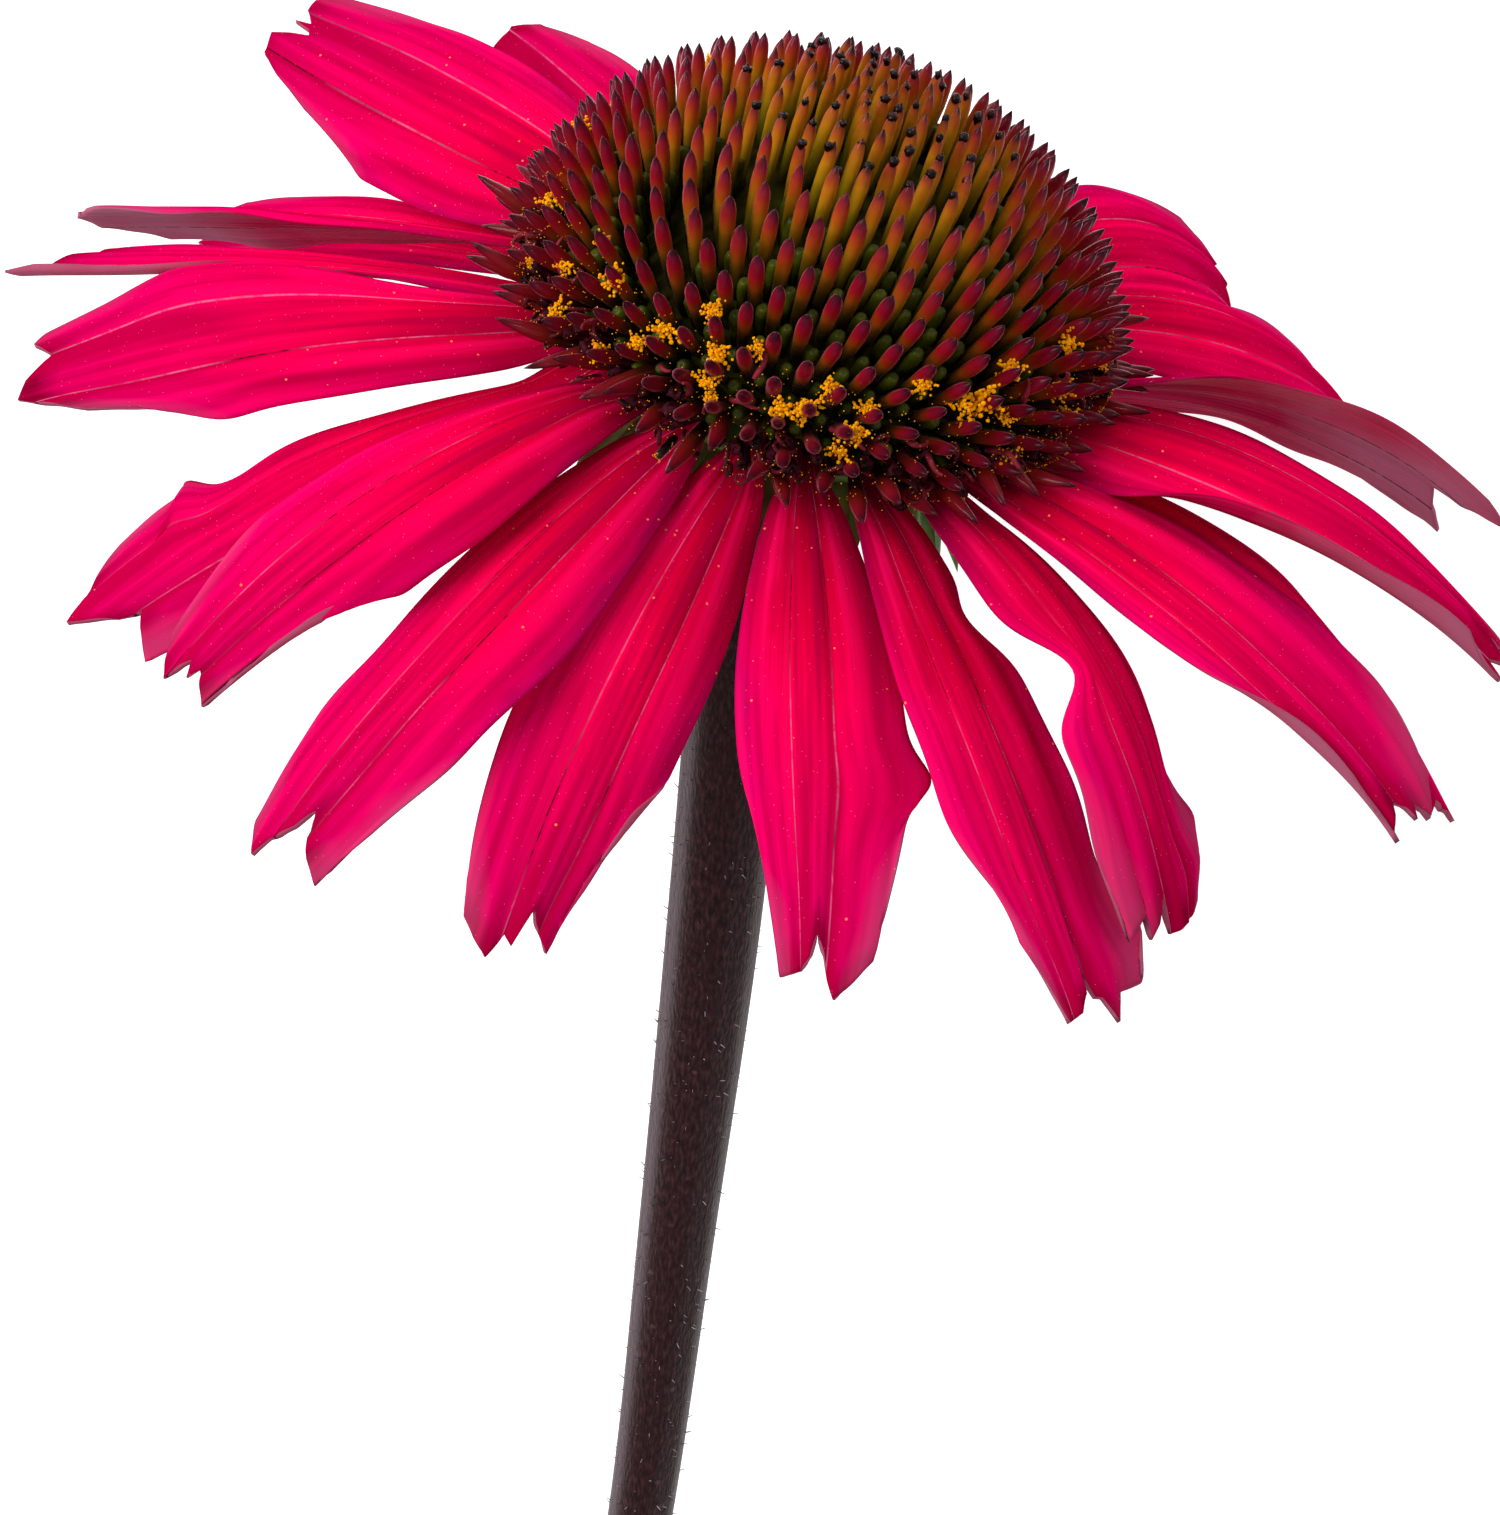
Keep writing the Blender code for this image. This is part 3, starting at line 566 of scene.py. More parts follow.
def petal_face():
    """Living petal, upper side: satin crimson, magenta end, veins and a dust of pollen, with painted
    shade at the claw and painted sheen specks.
    """
    material, tree, shader = new_material("ray_petal_face", Roughness=0.5, IOR=PETAL_IOR,
                                          Specular_IOR_Level=0.0)
    look = blade_pattern(tree)
    along, cloud, band = look["along"], look["cloud"], look["band"]
    edge = add_node(tree, "Math", [(0, look["centred"])], operation="ABSOLUTE")
    uneven = add_node(tree, "Math", enumerate((cloud, 0.7, -0.35)), operation="MULTIPLY_ADD")
    outwards = add_node(tree, "Math", enumerate((edge, uneven)), operation="ADD")
    to_end = add_node(tree, "Math", enumerate((uneven, 0.3, along)), operation="MULTIPLY_ADD")
    across = add_node(tree, "ValToRGB", [("Fac", outwards)], (
        (0.0, "#EA003A"), (0.4, "#EE0040"), (0.7, "#EA004C"), (0.92, "#DC0058"), (1.0, "#B40656")))
    # Painted shade: this ramp darkens the claw end, where the cone shades the ray, and also darkens the
    # tips of the teeth.
    length = add_node(tree, "ValToRGB", [("Fac", to_end)], (
        (0.0, "#6A1024"), (0.1, "#B06878"), (0.26, "#E0C8D4"), (0.5, "#FFFFFF"),
        (0.8, "#F4F8FF"), (0.95, "#DEE2EC"), (1.0, "#8C7480")))
    colour = paint_over(tree, across.outputs[0], [(along, ((0.35, 0.0), (0.95, 0.7)), "#DC0062")])
    colour = paint_over(tree, colour, [(1.0, (), length.outputs[0])], "MULTIPLY")
    vein_tone = paint_over(tree, linear("#4A0A14"), [(cloud, ((0.42, 0.0), (0.58, 1.0)), "#D45C84")])
    frost = add_node(tree, "Math", enumerate((edge, along)), operation="MULTIPLY")
    frost = add_node(tree, "Math", enumerate((frost, along)), operation="MULTIPLY")
    frost = add_node(tree, "Math", enumerate((cloud, 0.5, frost)), operation="MULTIPLY_ADD")
    # Painted sheen: tiny pale pink specks stand in for glints on the petal's cells.
    sheen_cells = add_node(tree, "TexVoronoi", (("Vector", look["where"]), ("Scale", SHEEN_SPECK_SCALE)))
    specks = add_node(tree, "Math", enumerate((sheen_cells, SHEEN_SPECK_SIZE)), operation="LESS_THAN")
    colour = paint_over(tree, colour, (
        (band, ((0.32, 0.85), (0.52, 0.0)), "#A80036"),
        (band, ((0.52, 0.0), (0.72, 0.55)), "#FF0A60"),
        (look["streak"], ((0.3, 0.35), (0.5, 0.0)), "#A80038"),
        (vein_mask(tree, look), (), vein_tone),
        (frost, ((0.75, 0.0), (1.0, 0.55)), "#B83C68"),
        (specks, (), "#F04C84"),
        (sparse_dust(tree, look), (), "#E87848")))
    finish_skin(tree, shader, colour, band, 0.25, PETAL_RELIEF)
    return material


def petal_underside():
    """Living petal, underside: dull maroon purple with darker veins, painted grey towards its end,
    partly its own tone and partly painted sheen.
    """
    material, tree, shader = new_material("ray_petal_underside", Roughness=0.55, IOR=PETAL_IOR,
                                          Specular_IOR_Level=0.02)
    look = blade_pattern(tree)
    tones = add_node(tree, "ValToRGB", [("Fac", look["streak"])], (
        (0.3, "#86022C"), (0.5, "#A4043A"), (0.7, "#B41046")))
    # Grey purple in blotches, more towards the end: partly the underside's own tone, partly painted
    # sheen.
    grey_tone_and_sheen = add_node(tree, "Math", enumerate((look["cloud"], 0.9, -0.5)), operation="MULTIPLY_ADD")
    grey_tone_and_sheen = add_node(tree, "Math", enumerate((grey_tone_and_sheen, look["along"])), operation="ADD")
    colour = paint_over(tree, tones.outputs[0], (
        (grey_tone_and_sheen, ((0.48, 0.0), (0.95, 0.75)), "#9E5C74"), (vein_mask(tree, look), (), "#3A0A1C")))
    finish_skin(tree, shader, colour, look["streak"], 0.3, PETAL_RELIEF)
    return material


PETAL_FACE = petal_face()
PETAL_UNDERSIDE = petal_underside()

# %% Make the rays
BLADE_COLUMNS, BLADE_ROWS = 48, 100
BLADE_THICKNESS = 0.34  # mm
EDGE_THINNESS = 0.35  # the edges' part of that thickness


def make_ray(number, ray):
    """A flat grid bent into the blade and thickened, thinly at its edges."""
    deselect()
    bpy.ops.mesh.primitive_grid_add(x_subdivisions=BLADE_COLUMNS, y_subdivisions=BLADE_ROWS,
                                    size=2, calc_uvs=True)
    piece = bpy.context.object
    flat = get_points(piece.data)
    columns = np.unique(flat[:, 0].round(5))
    drawn = columns.copy()
    for place, _ in TIPS[number - 1]:
        drawn[abs(columns - place).argmin()] = place
    flat[:, 0] = np.interp(flat[:, 0], columns, drawn)
    claw_part = (CLAW_START - CLAW_RADIUS) / ray.length
    along = claw_part + (1 - claw_part) * (flat[:, 1] + 1) / 2
    phase = random.uniform(0, 2 * pi)
    set_points(piece.data, blade_points(number, ray, flat[:, 0], along, phase))
    set_uv(piece.data, (from_vein_to_vein(number, flat[:, 0]) + 1) / 2, np.clip(along, 0, 1))
    bpy.ops.object.mode_set(mode="EDIT")
    bpy.ops.mesh.select_all(action="SELECT")
    bpy.ops.mesh.flip_normals()
    bpy.ops.object.mode_set(mode="OBJECT")
    bpy.ops.object.shade_smooth()
    piece.data.materials.append(PETAL_FACE)
    piece.data.materials.append(PETAL_UNDERSIDE)
    body = piece.vertex_groups.new(name="body")
    for index, across in enumerate(flat[:, 0]):
        body.add([index], float(1 - abs(across) ** 6), "REPLACE")
    thickness = piece.modifiers.new("thickness", "SOLIDIFY")
    thickness.thickness = BLADE_THICKNESS
    thickness.vertex_group = "body"
    thickness.thickness_vertex_group = EDGE_THINNESS
    thickness.offset = 0.0
    thickness.material_offset = 1
    thickness.material_offset_rim = 1
    apply_modifiers(piece)
    return finish_piece(piece, f"petal_{number:02d}", "ray", replaced=(f"ray_{number:02d}",))


for number, ray in enumerate(RAYS, start=1):
    make_ray(number, ray)

# %% [markdown]
# ## The cone
# The cone is a domed receptacle set with stiff pointed scales, the paleae, in the spiral
# of a sunflower: each one is a golden angle further round than the last. Between them sit
# round green buds. One palea and one bud are modelled and copied.

# %% The spiral
TIP_RADIUS, TIP_HEIGHT = 19.3, 16.2  # mm, where the paleae end
PALEA_LENGTH = 6.3
PALEA_COUNT = 490
SPIRAL_REACH, CROWDING = 1.05, 1.25
LEAN = 2.0  # power: the paleae stand steeper than the dome's own slope
GOLDEN_ANGLE = pi * (3 - sqrt(5))


def spiral_place(index):
    """Azimuth and angle above the widest level of one place in the spiral."""
    part = (index + 0.5) / PALEA_COUNT
    return index * GOLDEN_ANGLE, asin(max(-1.0, 1 - SPIRAL_REACH * part ** CROWDING))


def on_cone(azimuth, angle, depth=0.0):
    """A point under the paleae's tips, and the direction that a palea there grows in."""
    steepness = max(0.0, 1 - angle / (pi / 2))
    rise = pi / 2 * (1 - steepness ** LEAN)
    flat = Vector(outward(azimuth))
    direction = flat * cos(rise) + Vector((0, 0, sin(rise)))
    tip = flat * TIP_RADIUS * cos(angle) + Vector((0, 0, TIP_HEIGHT * sin(angle)))
    return tip - direction * depth, direction


def upright(azimuth, direction, place, spin=0.0, scale=(1, 1, 1)):
    """A transform that stands +Z along a direction, with +Y uphill on the cone."""
    z = Vector(direction).normalized()
    x = Vector((cos(azimuth), sin(azimuth), 0.0))
    y = z.cross(x).normalized()
    x = y.cross(z)
    turn = Matrix((x, y, z)).transposed().to_4x4()
    return (Matrix.Translation(place) @ turn @ Matrix.Rotation(spin, 4, "Z")
            @ Matrix.Diagonal((*scale, 1)))


# %% [markdown]
# ### Skins of the cone
# A palea is like varnished horn: olive at its foot, then orange-brown, red, and a glossy
# dark maroon point, with a pink rim highlight painted on its upper part where the surface turns
# edge-on to the view. Those near the top of the cone are yellower with blackened tips, and the
# lowest ones are dark all over. The U value of each copy says how high on the cone it grows,
# and V says how far along the palea a point lies.

# %% Materials of the cone
FINE_DUST_SCALE = 4200.0  # grains about 0.24 mm apart
PALEA_TONES = (  # from foot to point: at mid height, near the top, at the top, lowest
    ((0.25, "#1E1804"), (0.40, "#382806"), (0.50, "#5E360A"), (0.59, "#88420E"),
     (0.68, "#96280E"), (0.77, "#900E1E"), (0.89, "#700A26"), (0.97, "#300618")),
    ((0.15, "#4E440A"), (0.4, "#80660C"), (0.6, "#B07812"), (0.72, "#B45A14"),
     (0.83, "#A0321E"), (0.92, "#701428"), (1.0, "#280612")),
    ((0.15, "#4E4C0A"), (0.4, "#7E700C"), (0.6, "#A88010"), (0.77, "#B27214"),
     (0.88, "#9C4818"), (0.95, "#521A14"), (1.0, "#1C0806")),
    ((0.2, "#180A04"), (0.45, "#3A1408"), (0.62, "#6E1412"), (0.8, "#740E1C"),
     (0.92, "#4E0A1A"), (1.0, "#2A0610")),
)


def palea_skin():
    """Horny scale, varnished by its own wax: gives small sharp glints at the points."""
    material, tree, shader = new_material("palea_horn", Roughness=0.17, IOR=1.5,
                                          Specular_IOR_Level=0.12)
    parts = add_node(tree, "SeparateXYZ", [("Vector", add_node(tree, "UVMap"))])
    height, along = parts.outputs["X"], parts.outputs["Y"]
    place = add_node(tree, "TexCoord").outputs["Object"]
    blotch = add_node(tree, "TexNoise", (("Vector", place), ("Scale", 700.0), ("Detail", 3.0)))
    shift = add_node(tree, "Math", enumerate((blotch, 0.16, -0.08)), operation="MULTIPLY_ADD")
    shifted = add_node(tree, "Math", enumerate((along, shift)), operation="ADD")
    middle, top, apex, low = (add_node(tree, "ValToRGB", [("Fac", shifted)], stops).outputs[0]
                              for stops in PALEA_TONES)
    # Painted highlight: a pink rim where the surface turns edge-on to the view, on the upper part of
    # each palea.
    facing = add_node(tree, "LayerWeight", [("Blend", 0.5)]).outputs["Facing"]
    rim = add_node(tree, "ValToRGB", [("Fac", facing)], ((0.66, 0.0), (0.95, 0.6)))
    upper = add_node(tree, "ValToRGB", [("Fac", shifted)], ((0.6, 0.2), (0.9, 1.0)))
    upper_rim_highlight = add_node(tree, "Math", enumerate((rim, upper)), operation="MULTIPLY")
    colour = paint_over(tree, middle, (
        (height, ((0.68, 0.0), (0.92, 1.0)), top), (height, ((0.88, 0.0), (0.97, 1.0)), apex),
        (height, ((0.14, 1.0), (0.5, 0.0)), low), (upper_rim_highlight, (), "#D8828C")))
    finish_skin(tree, shader, colour, blotch, 0.2, 0.0001)
    return material


def dappled_skin(name, low_colour, high_colour, roughness, scale, strength=0.3, gloss=0.3,
                 dust=0.0):
    """A living surface in two tones with a grain of the given scale, dusted with pollen."""
    material, tree, shader = new_material(name, Roughness=roughness, IOR=1.45,
                                          Specular_IOR_Level=gloss)
    place = add_node(tree, "TexCoord").outputs["Object"]
    grain = add_node(tree, "TexNoise", (("Vector", place), ("Scale", scale), ("Detail", 5.0)))
    colour = add_node(tree, "ValToRGB", [("Fac", grain)],
                      ((0.35, low_colour), (0.65, high_colour))).outputs[0]
    if dust:
        specks = add_node(tree, "TexVoronoi", (("Vector", place), ("Scale", FINE_DUST_SCALE)))
        dusted = add_node(tree, "Math", enumerate((specks, dust)), operation="LESS_THAN")
        colour = paint_over(tree, colour, [(dusted, (), "#D89018")])
    finish_skin(tree, shader, colour, grain, strength, 0.0002)
    return material


PALEA_SKIN = palea_skin()
DOME_SKIN = dappled_skin("receptacle_pith", "#241E06", "#3E3C0C", 0.8, 600.0, gloss=0.05)
BUD_SKIN = dappled_skin("green_bud_skin", "#2A3004", "#4A500A", 0.3, 700.0, gloss=0.15)
RESIN_SKIN = dappled_skin("dried_resin", "#060203", "#1C0A0A", 0.15, 1500.0, 0.8, gloss=0.15)

# %% The dome
DOME_SIDES, DOME_STEPS = 48, 12
DOME_RADIUS, DOME_HEIGHT = 13.4, 10.6  # mm
CLAW_TOP = CLAW_HEIGHT + 0.65 / 2 + 0.3  # mm: claws of the solids, and the gap over them
BOSS_RADIUS = CLAW_START - 1.0

profile = [(CUP_TOP + 0.3, BOSS_RADIUS, 0), (CLAW_TOP, BOSS_RADIUS + 0.01, 0),
           (CLAW_TOP + 0.01, CLAW_RADIUS - 0.5, 0), (CLAW_TOP + 2.4, DOME_RADIUS, 0)]
for angle in np.linspace(0.18, pi / 2 - 0.03, DOME_STEPS):
    profile.append((DOME_HEIGHT * sin(angle), DOME_RADIUS * cos(angle), 0))
dome = extrude_up("dome", DOME_SIDES, profile)
finish_piece(dome, "receptacle_dome", "cone", DOME_SKIN, replaced=("cone",))

# %% The paleae
PALEA_PROFILE = ((0.0, 0.34, 0), (1.6, 0.39, 0), (3.2, 0.45, 0), (4.5, 0.49, 0), (5.2, 0.45, 0),
                 (5.65, 0.37, 0), (6.0, 0.24, 0), (6.2, 0.12, 0), (6.36, 0.03, 0))  # mm
LOW_PROFILE = ((0.0, 0.34, 0), (1.8, 0.44, 0), (3.4, 0.56, 0), (4.8, 0.54, 0), (6.0, 0.38, 0),
               (6.9, 0.2, 0), (7.4, 0.03, 0))  # mm
PALEA_SIDES = 8
PALEA_BOW = 0.5  # mm, uphill at the tip
LOW_RING = 0.1  # sine of the angle under which the paleae stand awry
BURNT_TOP = 0.9  # sine of the angle over which most tips carry a drop of resin
DROP_SHARE, DROP_INSET = 0.8, 0.3  # part of those tips, and mm under the point


def make_palea(profile):
    """One palea, bowed uphill."""
    piece = extrude_up("palea", PALEA_SIDES, profile)
    points = get_points(piece.data)
    reach = points[:, 2] / profile[-1][0]
    points[:, 1] += PALEA_BOW * (reach ** 2 - reach)
    set_points(piece.data, points)
    set_uv(piece.data, 0.0, reach)
    return piece


def rays_top(azimuth):
    """The height that the rays reach under the tips of the lowest paleae, in mm."""
    reach = TIP_RADIUS - 1.0
    heights = [-9.0]
    for ray in RAYS:
        off = (azimuth - radians(ray.azimuth) + pi) % (2 * pi) - pi
        if abs(off) * reach < 0.3 * ray.width + 1.0:
            heights.append(CLAW_HEIGHT + (reach - CLAW_RADIUS) * sin(radians(ray.rise))
                           + ray.level * LEVEL_STEP)
    return max(heights)


places, low_places, drop_places = [], [], []
for index in range(PALEA_COUNT):
    azimuth, angle = spiral_place(index)
    tip, direction = on_cone(azimuth, angle)
    height = sin(angle)
    length = random.uniform(0.96, 1.03)
    if height < LOW_RING:
        direction += Vector(random.normal(0, 0.16, 3))
        tip += direction * random.uniform(-1.2, 1.0)
        tip.z = max(tip.z, rays_top(azimuth) + 0.8)
    else:
        direction += Vector(random.normal(0, 0.02, 3))
    direction.normalize()
    girth = random.uniform(0.92, 1.06) * (1 - 0.1 * ease(height, 0.7, 1.0))
    root = tip - direction * PALEA_LENGTH * length
    tone = min(1.0, max(0.0, height + random.normal(0, 0.03)))
    chosen = low_places if height < LOW_RING else places
    chosen.append((upright(azimuth, direction, root, random.uniform(-0.3, 0.3),
                           (girth, girth * 0.9, length)), tone))
    if height > BURNT_TOP and random.uniform() < DROP_SHARE:
        drop = tip - direction * DROP_INSET + Vector(random.normal(0, 0.08, 3))
        drop_places.append((upright(azimuth, direction, drop, 0.0, (random.uniform(0.6, 0.95),) * 3),
                            0.5))
for name, template, spots in (("paleae", make_palea(PALEA_PROFILE), places),
                              ("lowest_paleae", make_palea(LOW_PROFILE), low_places)):
    place_copies(name, template, spots, "cone", PALEA_SKIN)

# %% Drops of resin at the top
drop = extrude_up("drop", 8, ((-0.5, 0.16, 0), (-0.2, 0.3, 0), (0.05, 0.36, 0), (0.2, 0.3, 0),
                              (0.26, 0.18, 0), (0.16, 0.06, 0)))
points = get_points(drop.data)
points[:, 2] += 0.2 * points[:, 0]
points[:, 0] += 0.07 * np.sin(11 * points[:, 1] + 17 * points[:, 2])
set_points(drop.data, points)
set_uv(drop.data, 0.0, 0.5)
place_copies("resin_drops", drop, drop_places, "cone", RESIN_SKIN)

# %% The green buds
BUD_PROFILE = ((-2.4, 0.3, 0), (-0.5, 0.38, 0), (0.0, 0.43, 0), (0.45, 0.43, 0), (0.8, 0.32, 0),
               (0.9, 0.17, 0), (0.8, 0.05, 0))
BUD_DEPTH = 4.2  # mm under the tips' level
LOWEST_BUD, HIGHEST_BUD = radians(5), radians(66)
NEIGHBOUR = 21  # places further along the spiral is one palea's neighbour

bud = extrude_up("bud", 8, BUD_PROFILE)
set_uv(bud.data, 0.0, 0.5)
places = []
for index in range(PALEA_COUNT - NEIGHBOUR):
    near, far = spiral_place(index), spiral_place(index + NEIGHBOUR)
    apart = (far[0] - near[0] + pi) % (2 * pi) - pi
    azimuth, angle = near[0] + apart / 2, (near[1] + far[1]) / 2
    if LOWEST_BUD < angle < HIGHEST_BUD:
        root, direction = on_cone(azimuth, angle, BUD_DEPTH + random.uniform(-0.4, 0.4))
        places.append((upright(azimuth, direction, root, 0.0, (random.uniform(0.85, 1.1),) * 3), 0.5))
place_copies("green_buds", bud, places, "cone", BUD_SKIN)

# %% [markdown]
# ## Florets and pollen
# The lowest florets have opened and withered: dark maroon tubes with five pointed lobes, and
# curled styles between them. Above them is the ring of florets that are open now. Each
# pushes up a dark column with fresh pollen on it in a crumbly lump, and stout maroon styles.
# Single grains have dropped all over the lower half of the cone.

# %% Templates: floret, style, column, lump of pollen
FLORET_SKIN = dappled_skin("withered_floret", "#120306", "#420A18", 0.6, 900.0, 0.5, 0.1, 0.08)
STYLE_SKIN = dappled_skin("maroon_style", "#5A101E", "#8E2634", 0.55, 900.0, 0.4, 0.1, 0.12)
CURL_SKIN = dappled_skin("withered_style", "#2A0810", "#641624", 0.55, 900.0, 0.4, 0.1, 0.16)
COLUMN_SKIN = dappled_skin("anther_column", "#0C0604", "#20120A", 0.5, 900.0)
POLLEN_SKIN = dappled_skin("pollen_grains", "#E89000", "#FFB400", 0.8, 3000.0, 0.6, gloss=0.1)


def withered_floret():
    """A small tube whose rim is drawn out into five pointed, crumpled lobes."""
    piece = extrude_up("floret", 10, ((-1.2, 0.22, 0), (0.4, 0.28, 0), (1.1, 0.34, 0), (1.6, 0.38, 0),
                                      (1.75, 0.22, 0), (1.6, 0.08, 0)))
    points = get_points(piece.data)
    angle = np.arctan2(points[:, 1], points[:, 0])
    lobes = np.clip(np.cos(5 * angle), 0, 1) * ease(points[:, 2], 1.3, 1.6)
    points[:, :2] *= (1 + 1.5 * lobes)[:, None]
    points[:, 2] += 0.4 * lobes
    points += random.normal(0, 0.09, points.shape)
    set_points(piece.data, points)
    set_uv(piece.data, 0.0, 0.5)
    return piece


def style_rod(curl, length, thickness):
    """A rod along a tightening curl, from a curve with a bevel made into a mesh."""
    curve = bpy.data.curves.new("style", "CURVE")
    curve.dimensions = "3D"
    curve.bevel_depth = thickness / 2
    curve.bevel_resolution = 1
    curve.use_fill_caps = True
    spline = curve.splines.new("POLY")
    count = 16
    spline.points.add(count - 1)
    place, heading = Vector((0, 0, -0.6)), 0.0
    for step, point in enumerate(spline.points):
        part = step / (count - 1)
        point.co = (*place, 1)
        point.radius = 0.85 + 0.3 * sin(part * pi) - 0.4 * part
        heading += curl * 2 * pi * 2.5 * part ** 1.5 / count
        place += Vector((sin(heading), 0.3 * sin(part * 7), cos(heading))) * length / count
    piece = bpy.data.objects.new("style", curve)
    bpy.context.scene.collection.objects.link(piece)
    activate(piece)
    bpy.ops.object.convert(target="MESH")
    bpy.ops.object.shade_smooth()
    set_uv(piece.data, 0.0, 0.5)
    return piece


def pollen_lump(core, arms, grains_per_arm):
    """A crumbly lump: small grains heaped together, with a few short arms of grains."""
    spots = [(Vector(random.normal(0, 0.2, 3)), random.uniform(0.07, 0.12)) for _ in range(core)]
    for _ in range(arms):
        heading = Vector(random.normal(0, 1, 3)).normalized()
        for step in range(grains_per_arm):
            far = 0.25 + 0.09 * step
            spots.append((heading * far + Vector(random.normal(0, 0.07, 3)),
                          random.uniform(0.06, 0.1)))
    grains = []
    for place, radius in spots:
        bpy.ops.mesh.primitive_ico_sphere_add(subdivisions=1, radius=radius, location=place)
        grains.append(bpy.context.object)
    deselect()
    for grain in grains:
        grain.select_set(True)
    bpy.context.view_layer.objects.active = grains[0]
    bpy.ops.object.join()
    bpy.ops.object.transform_apply()
    piece = bpy.context.object
    set_uv(piece.data, 0.0, 0.5)
    return piece


# %% Place the florets and curled styles in the lowest rings
FLORET_COUNT, CURL_COUNT, STYLE_COUNT = 130, 150, 34
GOLDEN_PART = 0.618  # of a turn from one to the next


def ring_place(part, low, high, depth, awry):
    """A place part of the way round the cone, between two angles above its widest level."""
    azimuth = 2 * pi * part + random.normal(0, 0.05)
    place, direction = on_cone(azimuth, radians(random.uniform(low, high)), depth)
    place.z = max(place.z, rays_top(azimuth) + 0.9)
    return azimuth, place, direction + Vector(random.normal(0, awry, 3))


def scatter(name, template, count, low, high, depth, awry, smallest, largest, skin):
    """Copies of a template all round the cone between two angles."""
    places = []
    for index in range(count):
        azimuth, place, direction = ring_place(index * GOLDEN_PART % 1, low, high, depth, awry)
        size = (random.uniform(smallest, largest),) * 3
        places.append((upright(azimuth, direction, place, random.uniform(0, 6), size), 0.5))
    place_copies(name, template, places, "cone", skin)


scatter("withered_florets", withered_floret(), FLORET_COUNT, low=-3, high=9, depth=3.2, awry=0.35,
        smallest=0.75, largest=1.15, skin=FLORET_SKIN)
scatter("curled_styles", style_rod(curl=1.3, length=4.2, thickness=0.3), CURL_COUNT, low=-3, high=12,
        depth=2.6, awry=0.4, smallest=0.7, largest=1.15, skin=CURL_SKIN)
scatter("maroon_styles", style_rod(curl=0.22, length=2.7, thickness=0.42), STYLE_COUNT, low=8,
        high=26, depth=2.2, awry=0.5, smallest=0.75, largest=1.1, skin=STYLE_SKIN)

# %% Place the columns and the pollen where florets are open
POLLEN = (
    (-125, 47, 0.8), (-109, 30, 1.0), (-103, 23, 1.1), (-76, 20, 1.2), (-68, 8, 0.8), (-56, 17, 0.9),
    (-52, 28, 0.9), (-52, 8, 1.1), (-43, 24, 1.3), (-38, 8, 0.9), (-31, 16, 1.0), (-27, 22, 1.3),
    (-20, 31, 1.1), (-19, -8, 0.4), (-15, 23, 1.3), (-15, 16, 1.1), (-13, 13, 0.8), (-8, 28, 0.9),
    (0, 17, 1.2), (4, 19, 1.4), (8, 25, 1.0), (13, 11, 1.1), (15, 16, 1.2), (16, 22, 1.0),
    (27, 29, 1.1), (37, 24, 1.2), (41, 25, 1.6), (47, 20, 0.8), (49, 31, 1.2), (49, 10, 1.1),
    (64, 23, 1.1), (67, 15, 0.9), (69, 32, 1.2), (106, 32, 0.7), (124, 24, 0.9), (146, 19, 1.1),
    (165, 25, 1.0), (-178, 17, 0.9), (-160, 26, 1.1), (-142, 20, 1.2), (84, 20, 0.7), (98, 14, 0.9),
)  # degrees round, degrees up, size
POLLEN_DEPTH, COLUMN_DEPTH = 1.5, 3.4  # mm under the tips' level

column = extrude_up("column", 8, ((0.0, 0.2, 0), (0.4, 0.3, 0), (1.7, 0.27, 0), (2.0, 0.14, 0)))
set_uv(column.data, 0.0, 0.5)
lumps = [pollen_lump(core=60, arms=5, grains_per_arm=7),
         pollen_lump(core=42, arms=7, grains_per_arm=8)]
lump_places, column_places = [[], []], []
for index, (degrees_round, degrees_up, size) in enumerate(POLLEN):
    azimuth, angle = radians(degrees_round), radians(degrees_up)
    place, direction = on_cone(azimuth, angle, POLLEN_DEPTH)
    spin = random.uniform(0, 6)
    lump_places[index % 2].append((upright(azimuth, direction, place, spin, (size,) * 3), 0.5))
    place, direction = on_cone(azimuth, angle, COLUMN_DEPTH)
    column_places.append((upright(azimuth, direction, place, 0.0, (1.0,) * 3), 0.5))
for name, template, places, skin in (("pollen_lumps_a", lumps[0], lump_places[0], POLLEN_SKIN),
                                     ("pollen_lumps_b", lumps[1], lump_places[1], POLLEN_SKIN),
                                     ("anther_columns", column, column_places, COLUMN_SKIN)):
    place_copies(name, template, places, "cone", skin)

# %% Loose pollen
LOOSE_GRAINS, GRAIN_RADIUS = 2200, 0.035

bpy.ops.mesh.primitive_ico_sphere_add(subdivisions=1, radius=GRAIN_RADIUS)
grain = bpy.context.object
set_uv(grain.data, 0.0, 0.5)
scatter("loose_pollen", grain, LOOSE_GRAINS, low=-4, high=26, depth=1.2, awry=0.5, smallest=0.6,
        largest=1.3, skin=POLLEN_SKIN)

# %% [markdown]
# ## The green cup and its bracts
# Under the rays a shallow green cup holds them, with rows of narrow bracts that bend down.
# Only scraps of them show between the rays from the front, but they make the flower's back.

